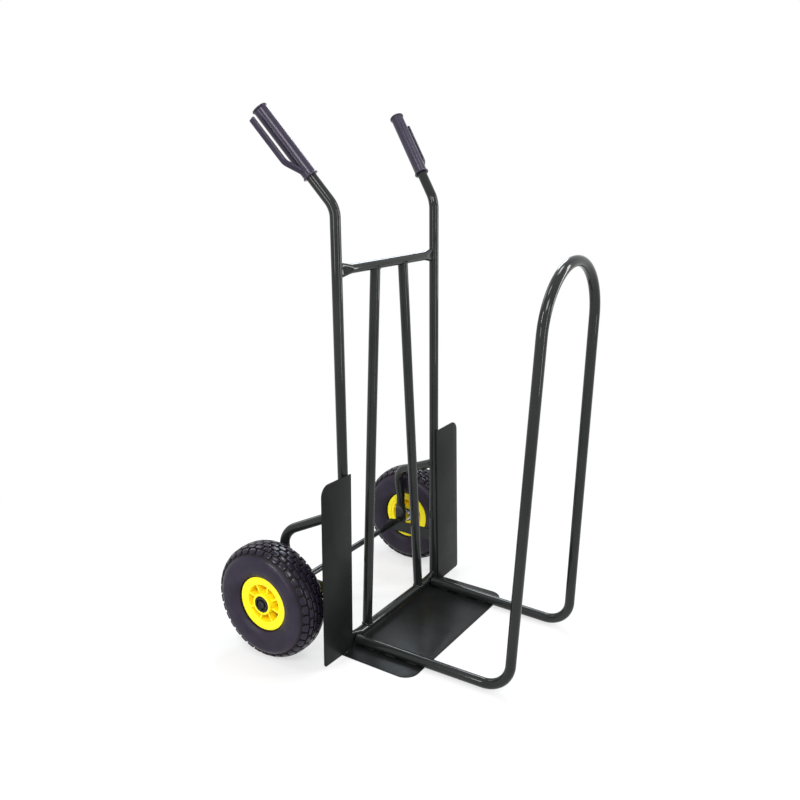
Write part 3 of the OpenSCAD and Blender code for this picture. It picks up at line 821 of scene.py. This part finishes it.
def guard_place():
    """From the right guard's own plane, with its inner foot corner at the origin, to its place."""
    middle = (GUARD_TOP - GUARD_FOOT) / 2
    lean = Matrix.Rotation(math.pi / 2 - math.atan(LEAN), 4, "X")
    turn = Matrix.Rotation(GUARD_TURN, 4, "Z") @ Matrix.Translation((0, -middle, 0))
    return (
        Matrix.Translation(at_frame(GUARD_IN, GUARD_FOOT)) @ lean
        @ Matrix.Translation((0, middle, TUBE_R + 0.0001)) @ turn
    )


class LOGCART_OT_plates(Operator):
    """Toe plate and the two wheel guards, with softened edges"""
    bl_idname = "log_cart.plates"
    bl_label = "Plates"

    def execute(self, context):
        low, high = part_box("toe_plate")
        r = TOE_CORNER_R
        outline = [(high.x, high.y), (low.x, high.y)]
        outline += quarter(low.x + r, low.y + r, r, 180) + quarter(high.x - r, low.y + r, r, 270)
        toe = bevelled(plate_mesh("toe_plate", outline, PLATE_T), sizes().plate_edge, 60)
        add_piece("toe_plate_pressed", toe, plate_coat(), "frame", "plate_black", "toe_plate")
        height = GUARD_TOP - GUARD_FOOT
        outline = [(0, height), (0, 0)]
        outline += quarter(GUARD_W - GUARD_FOOT_R, GUARD_FOOT_R, GUARD_FOOT_R, 270)
        outline += quarter(GUARD_W - GUARD_TOP_R, height - GUARD_TOP_R, GUARD_TOP_R, 0)
        flat = bevelled(plate_mesh("wheel_guard", outline, GUARD_T), sizes().plate_edge, 60)
        guard = moved(flat, guard_place())
        add_pair("wheel_guard_plate", guard, plate_coat(), "frame", "plate_black", "wheel_guard")
        return {"FINISHED"}


RAIL_H = PLATE_T + TUBE_R + 0.0001
RAIL_X = FRAME_HALF - 2 * TUBE_R - 0.001
RAIL_LEN, RAIL_TOE_IN = 0.382, 0.0085
LOOP_TOP_REACH, LOOP_TOP_H, LOOP_TOE_IN = 0.414, 0.868, 0.037
LOOP_BEND_R = 0.060


def loop_line():
    def side(s):
        return [
            Vector((s * RAIL_X, FRAME_Y - TUBE_R - 0.0002, RAIL_H)),
            Vector((s * (RAIL_X - RAIL_TOE_IN), FRAME_Y - RAIL_LEN, RAIL_H)),
            Vector((s * (RAIL_X - LOOP_TOE_IN), FRAME_Y - LOOP_TOP_REACH, LOOP_TOP_H)),
        ]

    route = side(-1) + list(reversed(side(1)))
    turn = (route[2] - route[1]).angle(route[3] - route[2])
    arch = (RAIL_X - LOOP_TOE_IN - 0.0005) / math.tan(turn / 2)
    return filleted(route, [LOOP_BEND_R, arch, arch, LOOP_BEND_R])


class LOGCART_OT_log_loop(Operator):
    """The tall bent tube that holds the logs in"""
    bl_idname = "log_cart.log_loop"
    bl_label = "Log loop"

    def execute(self, context):
        tube = frame_tube(bent_tube_tree(), loop_line())
        add_piece("log_loop_tube", tube, coat(), "frame", "powder_coat", "log_loop")
        return {"FINISHED"}


BRACKET_CORNER = Vector((BRACKET_X, AXLE.y + 0.0105, 0.2645))
BRACKET_TOP = at_frame(FRAME_HALF, 0.326)
EYE_TOP = AXLE.z + 0.022
LEG_FOOT = Vector((BRACKET_X, AXLE.y, EYE_TOP + 0.024))


def bracket_mesh():
    """A bent tube whose leg is pressed flat round the axle. Made from the eye upwards."""
    back, out = Vector((0, 1, 0)), Vector((1, 0, 0))
    eye_r, half_t, flatness = 0.0155, 0.003, 6
    rings = []

    def section(centre, side, ahead, wide, thick, power):
        rings.append([
            centre + side * wide * signed_power(c, 2 / power)
            + ahead * thick * signed_power(s, 2 / power)
            for c, s in circle_points(40)
        ])

    def leg_section(z, wide, thick=half_t, power=flatness):
        section(Vector((BRACKET_X, AXLE.y, z)), back, out, wide, thick, power)

    for a in (4, 12, 22, 34, 48, 64, 90):
        angle = math.radians(a)
        leg_section(AXLE.z - eye_r * math.cos(angle), eye_r * math.sin(angle))
    leg_section(EYE_TOP - 0.004, eye_r)
    for t in evenly(0, 1, 12):
        s = smooth(t)
        leg_section(EYE_TOP + t * (LEG_FOOT.z - EYE_TOP), eye_r + (TUBE_R - eye_r) * s,
                    half_t + (TUBE_R - half_t) * s, flatness - 4 * s)
    knee = LEG_FOOT + Vector((0, 0, 0.019))
    line = filleted([LEG_FOOT, knee, BRACKET_CORNER, BRACKET_TOP], [0.030, 0.044])
    side = back
    for i in range(1, len(line)):
        before = (line[i] - line[i - 1]).normalized()
        last = i + 1 == len(line)
        after = before if last else (line[i + 1] - line[i]).normalized()
        along = (before + after).normalized()
        side = (side - along * side.dot(along)).normalized()
        ahead = along.cross(side)
        if ahead.dot(out) < 0:
            ahead = -ahead
        section(line[i] - along * 0.008 if last else line[i], side, ahead, TUBE_R, TUBE_R, 2)
    return lofted("bracket", rings)


class LOGCART_OT_brackets(Operator):
    """The two bent brackets that carry the axle, and the flat stays behind the uprights"""
    bl_idname = "log_cart.brackets"
    bl_label = "Axle brackets"

    def execute(self, context):
        add_pair("bracket_tube", bracket_mesh(), coat(), "frame", "powder_coat", "bracket", sharp=50)
        repaint(coat(), "axle_stay_left", "axle_stay_right")
        return {"FINISHED"}


# --- Weld beads ------------------------------------------------------------------------


def to_tube(origin, direction, foot, along, radius):
    """Where a line first meets the wall of a tube."""
    o = origin - foot
    o = o - along * o.dot(along)
    d = direction - along * direction.dot(along)
    a, b, c = d.dot(d), 2 * o.dot(d), o.dot(o) - radius * radius
    root = math.sqrt(max(0.0, b * b - 4 * a * c))
    return origin + direction * (-b - root) / (2 * a)


def slat_welds():
    foot, head = slat_ends()
    along = (head - foot).normalized()
    front = Vector((0, 1, 0))
    side = along.cross(front).normalized()
    lines = []
    for end, away in ((head, -1), (foot, 1)):
        ring = []
        for c, s in circle_points(56):
            rise = math.sqrt(max(0.0, BAR_R ** 2 - (TUBE_R * s) ** 2)) - 0.006
            ring.append(end + TUBE_R * (side * c + front * s) + along * away * max(0.0, rise))
        lines.append((ring, True))
    return lines


def crossbar_welds(h):
    ring = []
    for p in squeezed_ring(0, 1, 64):
        y = max(-0.99 * TUBE_R, min(0.99 * TUBE_R, p.y))
        ring.append(at_frame(FRAME_HALF - math.sqrt(TUBE_R ** 2 - y * y), h) + Vector((0, y, p.z)))
    return [(ring, True)]


def bracket_welds():
    along = (BRACKET_TOP - BRACKET_CORNER).normalized()
    side = along.orthogonal().normalized()
    other = along.cross(side)
    up = Vector((0, LEAN, 1)).normalized()
    foot = at_frame(FRAME_HALF, 0)
    ring = [
        to_tube(BRACKET_CORNER + TUBE_R * 0.98 * (side * c + other * s), along, foot, up, TUBE_R)
        for c, s in circle_points(60)
    ]
    eye_r = 0.0078
    eye = [
        Vector((BRACKET_X - 0.003, AXLE.y + eye_r * c, AXLE.z + eye_r * s)) for c, s in circle_points(40)
    ]
    return [(ring, True), (eye, True)]


def stay_welds():
    half_t, half_h = 0.0025, 0.014
    low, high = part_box("axle_stay_right")
    middle = (low.x + high.x) / 2
    corners = ((half_t, half_h), (-half_t, half_h), (-half_t, -half_h), (half_t, -half_h))
    ring = []
    for i, a in enumerate(corners):
        b = corners[(i + 1) % 4]
        for k in range(8):
            x, z = a[0] + (b[0] - a[0]) * k / 8, a[1] + (b[1] - a[1]) * k / 8
            y = math.sqrt(TUBE_R ** 2 - x * x)
            ring.append(at_frame(middle, AXLE.z + z) + Vector((x, y, 0)))
    return [(ring, True)]


def foot_welds():
    foot = at_frame(FRAME_HALF, PLATE_T)
    return [([foot + Vector((TUBE_R * c, TUBE_R * s, 0)) for c, s in circle_points(48)], True)]


def guard_welds():
    """Stitches in the corner behind each guard, and along its foot on the toe plate."""
    lines = []
    corner = Vector((0, -TUBE_R + 0.0014, 0))
    for k in range(5):
        z = 0.045 + 0.078 * k
        lines.append(([at_frame(FRAME_HALF + 0.0058, z + d) + corner for d in (0, 0.015, 0.03)], False))
    foot = guard_place() @ Vector((0.004, 0, 0.0015))
    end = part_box("toe_plate")[1].x - 0.006
    return lines + [([Vector((x, foot.y, 0.004)) for x in (foot.x, end)], False)]


def rail_welds():
    lines = []
    for k in range(3):
        y = FRAME_Y - 0.035 - 0.055 * k
        for across in (-0.0052, 0.0052):
            x = RAIL_X - RAIL_TOE_IN * (FRAME_Y - y) / RAIL_LEN + across
            lines.append(([Vector((x, y - d, PLATE_T + 0.0008)) for d in (0, 0.012, 0.024)], False))
    return lines


class LOGCART_OT_weld_beads(Operator):
    """Weld beads round every joint of the frame"""
    bl_idname = "log_cart.weld_beads"
    bl_label = "Weld beads"

    def execute(self, context):
        tree = weld_bead_tree()
        groups = {
            "slats": (slat_welds(), 1.0),
            "crossbars": (crossbar_welds(CROSSBAR_H) + crossbar_welds(LOWER_BAR_H), 0.95),
            "brackets": (bracket_welds() + stay_welds(), 1.0),
            "plates": (foot_welds() + guard_welds() + rail_welds(), 0.9),
        }
        for seed, (name, (lines, share)) in enumerate(groups.items()):
            beads = tree.grow(
                line_mesh(name, lines), Radius=share * sizes().bead_radius, Ripple=sizes().ripple,
                Seed=float(seed), Material=coat(),
            )
            add_pair(f"weld_beads_{name}", beads, coat(), "frame", "powder_coat", sharp=80)
        return {"FINISHED"}


# --- Grips -----------------------------------------------------------------------------


def grip_place():
    """From a grip's own axes, with Z along its tube, to the right grip's place."""
    out = (Vector((1, 0, 0)) - GRIP_AXIS.x * GRIP_AXIS).normalized()
    up = out.cross(GRIP_AXIS)
    turn = math.radians(8)
    guard_out = math.cos(turn) * out - math.sin(turn) * up
    side = GRIP_AXIS.cross(guard_out)
    matrix = Matrix((guard_out, side, GRIP_AXIS)).transposed().to_4x4()
    matrix.translation = GRIP_FOOT
    return matrix


def bow_outline():
    """Side view of the hand guard: distance from the grip's axis, and place along it."""
    half_t, radius = 0.00325, 0.016
    root, knee = Vector((0.00725, 0.0095)), Vector((0.037, 0.046))
    run = knee - root
    slope = math.atan2(run.y, run.x)
    bend = math.pi / 2 - slope
    start = knee - radius * math.tan(bend / 2) * Vector((math.cos(slope), math.sin(slope)))
    centre = start + radius * Vector((-math.sin(slope), math.cos(slope)))
    tip = Vector((0.037, GRIP_LEN - 0.017))
    off = half_t * Vector((math.sin(slope), -math.cos(slope)))

    def arc(c, r, a, b, steps):
        return [c + r * Vector((math.cos(a + (b - a) * i / steps), math.sin(a + (b - a) * i / steps)))
                for i in range(steps + 1)]

    return (
        [root + off] + arc(centre, radius + half_t, slope - math.pi / 2, 0, 12)
        + arc(tip, half_t, 0, math.pi, 16)
        + arc(centre, radius - half_t, 0, slope - math.pi / 2, 12) + [root - off]
    )


def grip_body():
    r, flange, t, e = 0.0141, 0.0163, 0.003, sizes().grip_edge
    bore = TUBE_R + 0.0001
    top = GRIP_LEN
    profile = rounded_profile([
        (bore, 0), (flange, 0), (flange, t), (r, t + 0.0008), (r, top - t - 0.0008),
        (flange, top - t), (flange, top), (0.0115, top), (0.0105, top - 0.0012),
        (bore - 0.001, top - 0.0012), (bore - 0.001, 0.004), (bore, 0.003),
    ], e)
    end = [
        (0.0112, top - 0.0012), (0.0085, top - 0.0008), (0.0045, top - 0.0006), (0, top - 0.0005),
        (0, top - 0.003), (0.0112, top - 0.003),
    ]
    return joined("grip", [turned_profile(name, outline, 64) for name, outline in (
        ("grip_body", profile), ("grip_end", end))])


class LOGCART_OT_grips(Operator):
    """The two moulded grips with their hand guards"""
    bl_idname = "log_cart.grips"
    bl_label = "Grips"

    def execute(self, context):
        half_w = 0.0065
        flat = plate_mesh("bow", [(p.x, p.y) for p in bow_outline()], 2 * half_w)
        stand = Matrix.Translation((0, half_w, 0)) @ Matrix.Rotation(math.pi / 2, 4, "X")
        bow = moved(bevelled(flat, 0.0022, 60, 4), stand)
        grip = moved(joined("grip_whole", [grip_body(), bow]), grip_place())
        add_pair("grip_moulded", grip, grip_finish(), "frame", "grip_plastic", "grip", sharp=50)
        return {"FINISHED"}


# --- Wheels ----------------------------------------------------------------------------
# A wheel is made about local Z, which points outboard, with its middle plane at z 0.

BEAD_R = 0.052
MID_R = (TYRE_R + BEAD_R) / 2
HALF_H = (TYRE_R - BEAD_R) / 2
TREAD_N, RIM_N = 2.6, 2.15
ROW, GROOVE = 0.012, 0.001
LUGS = 36
LUG_H = 0.003
LUG_END_T, LUG_END_R = math.radians(49), 0.1165
# Moulded rings of a tyre's wall: radius, height and half breadth
RIDGES = ((0.1005, 0.0007, 0.0011), (0.0725, 0.0006, 0.0012))
RIBS = 8
RIM_TURN = math.radians(17.6)


def wheel_place():
    """From a wheel's own axes to the right wheel's place."""
    matrix = Matrix(((0, 0, 1), (0, 1, 0), (-1, 0, 0))).to_4x4()
    matrix.translation = Vector((WHEEL_X, AXLE.y, AXLE.z))
    return matrix


def oval_point(t, inset):
    """A point (radius, across) of the tyre's section. t is 0 at the tread's middle."""
    c, s = math.cos(t), math.sin(t)
    n = TREAD_N if c > 0 else RIM_N
    return (
        MID_R + (HALF_H - inset) * signed_power(c, 2 / n),
        (TYRE_HALF_W - inset) * signed_power(s, 2 / n),
    )


def oval_angle(across, inset=0.0):
    return math.asin((across / (TYRE_HALF_W - inset)) ** (TREAD_N / 2))


def carcass_profile():
    """The tyre below its lugs: grooves, floor, the shoulders' run-out and the sidewalls."""
    half = []
    floor, groove_floor, slope = LUG_H, LUG_H + 0.0005, 0.0004

    def crown(across, inset):
        half.append(oval_point(oval_angle(across, inset), inset))

    for edge in (0, 1, 2):
        middle = edge * ROW
        if edge:
            crown(middle - GROOVE - slope, floor)
            crown(middle - GROOVE, groove_floor)
        crown(max(middle, 0.00001), groove_floor)
        crown(middle + GROOVE, groove_floor)
        if edge < 2:
            crown(middle + GROOVE + slope, floor)
            for share in (0.35, 0.65):
                crown(middle + ROW * share, floor)
    edge_t, foot_t, bead_t = oval_angle(0.0245, LUG_H), math.radians(80), math.radians(143)
    for t in evenly(edge_t, foot_t, 22)[1:]:
        fade = min(1.0, max(0.0, (t - LUG_END_T) / (foot_t - LUG_END_T)))
        half.append(oval_point(t, LUG_H * (1 - smooth(fade))))
    for t in evenly(foot_t, bead_t, 24)[1:]:
        r, a = oval_point(t, 0)
        half.append((r, a + sum(h * math.exp(-((r - at) / breadth) ** 2) for at, h, breadth in RIDGES)))
    half += [(0.0615, 0.0286), (0.0605, 0.0250), (0.0525, 0.0248), (0.0525, 0.018), (0.070, 0.020)]
    return [(r, -a) for r, a in reversed(half[1:])] + half


def flat_lug(length, height, edge, sink, end_drop, taper):
    """One lug laid flat: X along the tread, Y from 0 to 1 across, Z out from its top."""
    marks = [-1, -0.955, -0.87, -0.5, 0, 0.5, 0.87, 0.955, 1]
    corner_power, edge_mark = 4.5, 0.87
    points = []

    def add(u, v):
        m = max(abs(u), abs(v))
        corner = (abs(u) ** corner_power + abs(v) ** corner_power) ** (1 / corner_power)
        k = 1 if m < 1e-9 else m / corner
        narrow = 1 - taper * max(0.0, (v * k + 0.2) / 1.2) ** 1.3
        over = max(0.0, (m - edge_mark) / (1 - edge_mark))
        fall = edge * (1 - math.sqrt(max(0.0, 1 - over ** 2)))
        drop = end_drop * max(0.0, (v - 0.4) / 0.6) ** 1.5
        points.append((u * k * narrow * length / 2, 0.5 + v * k / 2, -fall - drop))

    n = len(marks)
    for v in marks:
        for u in marks:
            add(u, v)
    faces = [
        (j * n + i, j * n + i + 1, (j + 1) * n + i + 1, (j + 1) * n + i)
        for j in range(n - 1) for i in range(n - 1)
    ]
    rim = list(range(n)) + [j * n + n - 1 for j in range(1, n)]
    rim += [(n - 1) * n + i for i in range(n - 2, -1, -1)] + [j * n for j in range(n - 2, 0, -1)]
    first = len(points)
    for index in rim:
        x, y, _ = points[index]
        points.append((x * 1.03, 0.5 + (y - 0.5) * 1.03, -height - sink))
    count = len(rim)
    faces += [(rim[(k + 1) % count], rim[k], first + k, first + (k + 1) % count) for k in range(count)]
    faces.append(tuple(range(first, first + count)))
    return outwards(mesh_of("lug", points, faces))


def section_line():
    """The tyre's half section from the tread's middle outwards, and a way to find lengths along it."""
    points = [Vector((*oval_point(t, 0), 0)) for t in evenly(0, math.radians(100), 400)]
    lengths = [0.0]
    for a, b in zip(points, points[1:]):
        lengths.append(lengths[-1] + (b - a).length)

    def length_at(passed):
        return next(s for p, s in zip(points, lengths) if passed(*p.xy))

    return line_mesh("section", [(points, False)]), length_at


def tread_mesh(material):
    section, length_at = section_line()
    tree = lug_row_tree()
    gap, sink = 0.004, 0.0008
    length = 2 * math.pi * TYRE_R / LUGS - gap
    lugs = [
        new_object("lug", flat_lug(length, LUG_H, sizes().lug_edge, sink, end_drop, taper))
        for end_drop, taper in ((0, 0), (0.0014, 0.32))
    ]
    meshes = []
    for row in (-2, -1, 0, 1, 2, -3):
        nearer = row if row >= 0 else -row - 1
        on_shoulder = nearer == 2
        start = length_at(lambda r, a: a >= nearer * ROW + GROOVE)
        if on_shoulder:
            end = length_at(lambda r, a: r <= LUG_END_R)
        else:
            end = length_at(lambda r, a: a >= (nearer + 1) * ROW - GROOVE)
        meshes.append(tree.grow(
            section.copy(), Lug=lugs[on_shoulder], Count=LUGS, Offset=0.5 * (row % 2), From=start,
            To=end, Tread_radius=TYRE_R, Outboard=1.0 if row >= 0 else -1.0, Material=material,
        ))
    for lug in lugs:
        bpy.data.objects.remove(lug)
    return outwards(joined("tread", meshes))


class LOGCART_OT_tyres(Operator):
    """The two tyres: carcass, sidewalls and six staggered rows of rounded lugs"""
    bl_idname = "log_cart.tyres"
    bl_label = "Tyres"

    def execute(self, context):
        material = tyre_finish()
        carcass = turned_profile("carcass", carcass_profile(), sizes().wheel_sides)
        tyre = moved(joined("tyre", [carcass, tread_mesh(material)]), wheel_place())
        add_pair("tyre_treaded", tyre, material, "wheel", "tyre_rubber", "tyre", sharp=50)
        repaint(rubber_finish(), "inner_tube_left", "inner_tube_right")
        return {"FINISHED"}


def rim_outline():
    """Section of the rim's band, its flanges and their lips."""
    outboard = [
        (0.0412, 0.003), (0.043, 0.0272), (0.0465, 0.0275), (0.0500, 0.0275), (0.0500, 0.0290),
        (0.0612, 0.0290), (0.0612, 0.0250), (0.0520, 0.0250),
    ]
    return outboard + [(r, -a) for r, a in reversed(outboard)]


def hub_outline():
    """Section of the hub, the collar round its cap and the web between the pockets of both faces."""
    return [
        (0.0130, 0.0265), (0.0187, 0.0265), (0.0187, 0.0332), (0.0238, 0.0332), (0.0258, 0.0030),
        (0.0425, 0.0030), (0.0425, -0.0030), (0.0258, -0.0030), (0.0240, -0.0265), (0.0130, -0.0265),
    ]


def rib_mesh(edge):
    """One rib of both faces, standing from hub to band along local X."""
    half_depth = 0.025
    x0, x1, half_t = 0.0235, 0.0428, 0.002
    rings = []
    for x in evenly(x0, x1, 8):
        flare = 1 + 0.35 * (abs(2 * (x - x0) / (x1 - x0) - 1)) ** 5
        ring = []
        for y, z in ((-1, -1), (1, -1), (1, 1), (-1, 1)):
            cx, cy = z * (half_depth - edge), y * (half_t * flare - edge)
            start = math.degrees(math.atan2(z, y)) - 45
            for k in range(5):
                a = math.radians(start + 90 * k / 4)
                ring.append(Vector((x, cy + edge * math.cos(a), cx + edge * math.sin(a))))
        rings.append(ring)
    return lofted("rib", rings)


def valve_mesh():
    """Valve stem with a ribbed dust cap, along local Z from the band inwards."""
    stem = [(0.0, 0.048), (0.0035, 0.048), (0.0035, 0.0442), (0.0027, 0.0436), (0.0027, 0.0425)]
    cap = []
    for k in range(6):
        z = 0.0425 - 0.001 * k
        cap += [(0.0034, z), (0.0034, z - 0.00055), (0.0031, z - 0.00075)]
    profile = stem + cap + [(0.0030, 0.0361), (0.0018, 0.0353), (0.0, 0.0352)]
    return turned_profile("valve", profile, 24, closed=False)


def valve_place():
    angle = 6.5 * math.pi / 4 + RIM_TURN
    outboard = Matrix.Translation((0, 0, 0.013))
    return Matrix.Rotation(angle, 4, "Z") @ outboard @ Matrix.Rotation(math.pi / 2, 4, "Y")


class LOGCART_OT_rims(Operator):
    """The two moulded rims with ribs and pockets, and the tyre valves"""
    bl_idname = "log_cart.rims"
    bl_label = "Rims"

    def execute(self, context):
        material = rim_finish()
        edge = sizes().rim_edge
        sides = sizes().wheel_sides
        band = turned_profile("band", rounded_profile(rim_outline(), edge), sides)
        hub = turned_profile("hub", rounded_profile(hub_outline(), edge), sides // 2)
        ribs = ring_tree().grow(rib_mesh(0.0011), Count=RIBS, Turn=RIM_TURN, Material=material)
        rim = moved(joined("rim", [band, hub, ribs]), wheel_place())
        valve = moved(valve_mesh(), wheel_place() @ valve_place())
        for side_name, side in SIDES:
            body = f"wheel_{side_name}"
            add_piece(f"rim_moulded_{side_name}", on_side(rim, side), material, body, "rim_yellow",
                      f"rim_{side_name}", sharp=45)
            add_piece(f"valve_{side_name}", on_side(valve, side), rubber_finish(), body,
                      "butyl_rubber", sharp=40)
        bushes = ("outer_bush", "inner_bush")
        repaint(bush_finish(), *(f"{bush}_{side}" for bush in bushes for side, _ in SIDES))
        return {"FINISHED"}


class LOGCART_OT_axle_parts(Operator):
    """Hub caps, and the finishes of the axle, washers and spacer sleeves"""
    bl_idname = "log_cart.axle_parts"
    bl_label = "Axle and hub caps"

    def execute(self, context):
        low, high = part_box("axle_cap_right")
        radius, depth = (high.y - low.y) / 2, high.x - low.x
        outline = [
            # Dome
            (0.0, depth - 0.0016), (0.0022, depth - 0.0015), (0.0040, depth - 0.0006),
            (0.0062, depth - 0.0003), (0.0088, depth - 0.0008),
            # Recess round it
            (0.0100, depth - 0.0034), (0.0122, depth - 0.0038), (0.0130, depth - 0.0013),
            # Lip
            (0.0138, depth - 0.0003), (radius - 0.0030, depth), (radius - 0.0012, depth - 0.0006),
            (radius - 0.0003, depth - 0.0018), (radius, depth - 0.0030), (radius, 0.0003),
            (radius - 0.0004, 0.0), (0.0, 0.0),
        ]
        cap = turned_profile("cap", outline, 96, closed=False)
        place = wheel_place()
        place.translation.x = low.x
        cap = moved(cap, place)
        add_pair("hub_cap", cap, cap_finish(), "frame", "black_plastic", "axle_cap", sharp=50)
        repaint(coat(), "axle")
        rings = ("outer_washer", "inner_washer", "spacer")
        repaint(zinc_finish(), *(f"{ring}_{side}" for ring in rings for side, _ in SIDES))
        return {"FINISHED"}


# --- Stage -----------------------------------------------------------------------------

WHITE = (1, 1, 1, 1)
WORLD_LIGHT = 0.36
FLOOR_REACH = 14
CENTRE = (0, 0.1, 0.55)
# Name, place, aim, size, power and colour
LAMPS = (
    ("key_lamp", (-2.2, -1.45, 2.7), CENTRE, (1.1, 0.8), 44, (1.0, 0.97, 0.96)),
    ("front_strip", (-0.5, -2.3, 0.8), CENTRE, (0.16, 1.5), 12, WHITE[:3]),
    ("side_lamp", (-3.0, 0.1, 0.85), (0, 0.1, 0.85), (0.5, 0.7), 11, WHITE[:3]),
    ("left_strip", (-2.5, 0.7, 1.85), CENTRE, (0.4, 0.8), 26, WHITE[:3]),
    ("left_top_lamp", (-1.1, 0.6, 3.3), (-0.15, -0.33, 0.8), (0.5, 0.8), 18, WHITE[:3]),
    ("right_strip", (1.95, -2.15, 1.5), (0, -0.3, 0.9), (0.35, 2.4), 42, WHITE[:3]),
    ("window_lamp", (1.8, 1.15, 2.2), (-0.1, 0.1, 0.4), (0.9, 1.1), 30, (0.82, 0.91, 1.0)),
    ("overhead_lamp", (0.6, -0.15, 3.26), (-0.07, -0.33, 0.86), (0.8, 0.8), 28, WHITE[:3]),
    ("back_lamp", (0.3, 2.8, 2.2), CENTRE, (1.6, 1.2), 18, WHITE[:3]),
)
CAMERA_PLACE = Vector((-1.5298, -0.9401, 1.0521))
CAMERA_RIGHT = Vector((0.5485, -0.8362, -0.0011))
CAMERA_FORWARD = Vector((0.8045, 0.5281, -0.2718))


def add_lamp(name, place, target, size, power, tone):
    data = bpy.data.lights.new(name, "AREA")
    data.shape = "RECTANGLE"
    data.size, data.size_y = size
    data.energy = power
    data.color = tone
    lamp = new_object(name, data)
    lamp.location = place
    lamp.rotation_euler = (Vector(target) - Vector(place)).to_track_quat("-Z", "Y").to_euler()


def add_camera():
    """The photo's camera, solved from the lines of the frame and the tyre's outline."""
    data = bpy.data.cameras.new("photo_camera")
    data.sensor_fit = "HORIZONTAL"
    data.sensor_width = 36
    data.lens = 38.30
    camera = new_object("photo_camera", data)
    forward = CAMERA_FORWARD.normalized()
    up = CAMERA_RIGHT.normalized().cross(forward).normalized()
    right = forward.cross(up).normalized()
    turn = Matrix((right, up, -forward)).transposed().to_4x4()
    camera.matrix_world = Matrix.Translation(CAMERA_PLACE) @ turn
    return camera


def seen_directly(nodes):
    """1 for what the camera, a mirror or glass shows, 0 for light that falls on the cart."""
    path = nodes.add("ShaderNodeLightPath").outputs
    total = path["Is Camera Ray"]
    for name in ("Is Glossy Ray", "Is Transmission Ray"):
        total = nodes.maths("MAXIMUM", total, path[name])
    return total


def floor_finish():
    """Pale floor that melts into the white backdrop away from the cart, and keeps its shadow near it."""
    material = bpy.data.materials.new("studio_floor")
    material.use_nodes = True
    nodes = Nodes(material.node_tree)
    nodes.tree.nodes.clear()
    diffuse = nodes.add("ShaderNodeBsdfDiffuse", {"Color": (*colours().floor, 1)}).outputs[0]
    glow = nodes.add("ShaderNodeEmission", {"Color": WHITE}).outputs[0]
    place = nodes.add("ShaderNodeTexCoord").outputs["Object"]
    away = nodes.add("ShaderNodeVectorMath", {0: place}, operation="LENGTH").outputs["Value"]
    fade = nodes.ranged(away, 0.5, 1.5, 0.6, 1.0, interpolation_type="SMOOTHSTEP")
    share = nodes.maths("MULTIPLY", seen_directly(nodes), fade)
    mix = nodes.add("ShaderNodeMixShader", {0: share, 1: diffuse, 2: glow}).outputs[0]
    nodes.add("ShaderNodeOutputMaterial", {0: mix})
    return material


class LOGCART_OT_stage(Operator):
    """Pale floor, white surroundings, soft studio lamps and the camera"""
    bl_idname = "log_cart.stage"
    bl_label = "Stage"

    def execute(self, context):
        scene = context.scene
        scene.view_settings.view_transform = "Standard"
        scene.world = bpy.data.worlds.new("studio")
        scene.world.use_nodes = True
        nodes = Nodes(scene.world.node_tree)
        background = nodes.tree.nodes["Background"].inputs
        nodes.feed(background["Strength"], nodes.ranged(seen_directly(nodes), 0, 1, WORLD_LIGHT, 1))
        nodes.feed(background["Color"], WHITE)
        r = FLOOR_REACH
        corners = [(-r, -r, 0), (r, -r, 0), (r, r, 0), (-r, r, 0)]
        floor = new_object("floor", mesh_of("floor", corners, [(0, 1, 2, 3)]))
        floor.data.materials.append(floor_finish())
        for lamp in LAMPS:
            add_lamp(*lamp)
        scene.camera = add_camera()
        return {"FINISHED"}


class LOGCART_PT_pieces(Panel):
    """Sizes, colours and pieces of the log cart"""
    bl_idname = "LOGCART_PT_pieces"
    bl_label = "Log cart"
    bl_space_type = "VIEW_3D"
    bl_region_type = "UI"
    bl_category = "Log Cart"

    def draw(self, context):
        layout = self.layout
        for group in (context.scene.log_cart_sizes, context.scene.log_cart_colours):
            column = layout.box().column()
            for name in group.__annotations__:
                column.prop(group, name)
        column = layout.column()
        for operator in OPERATORS:
            column.operator(operator.bl_idname)


OPERATORS = (
    LOGCART_OT_frame_tubes, LOGCART_OT_crossbars, LOGCART_OT_plates, LOGCART_OT_log_loop,
    LOGCART_OT_brackets, LOGCART_OT_weld_beads, LOGCART_OT_grips, LOGCART_OT_tyres, LOGCART_OT_rims,
    LOGCART_OT_axle_parts, LOGCART_OT_stage,
)
CLASSES = (LogCartSizes, LogCartColours, *OPERATORS, LOGCART_PT_pieces)


def register():
    for cls in CLASSES:
        bpy.utils.register_class(cls)
    bpy.types.Scene.log_cart_sizes = PointerProperty(type=LogCartSizes)
    bpy.types.Scene.log_cart_colours = PointerProperty(type=LogCartColours)


def unregister():
    del bpy.types.Scene.log_cart_colours
    del bpy.types.Scene.log_cart_sizes
    for cls in reversed(CLASSES):
        bpy.utils.unregister_class(cls)


def main():
    register()
    for operator in OPERATORS:
        group, name = operator.bl_idname.split(".")
        getattr(getattr(bpy.ops, group), name)()


if __name__ == "__main__":
    main()
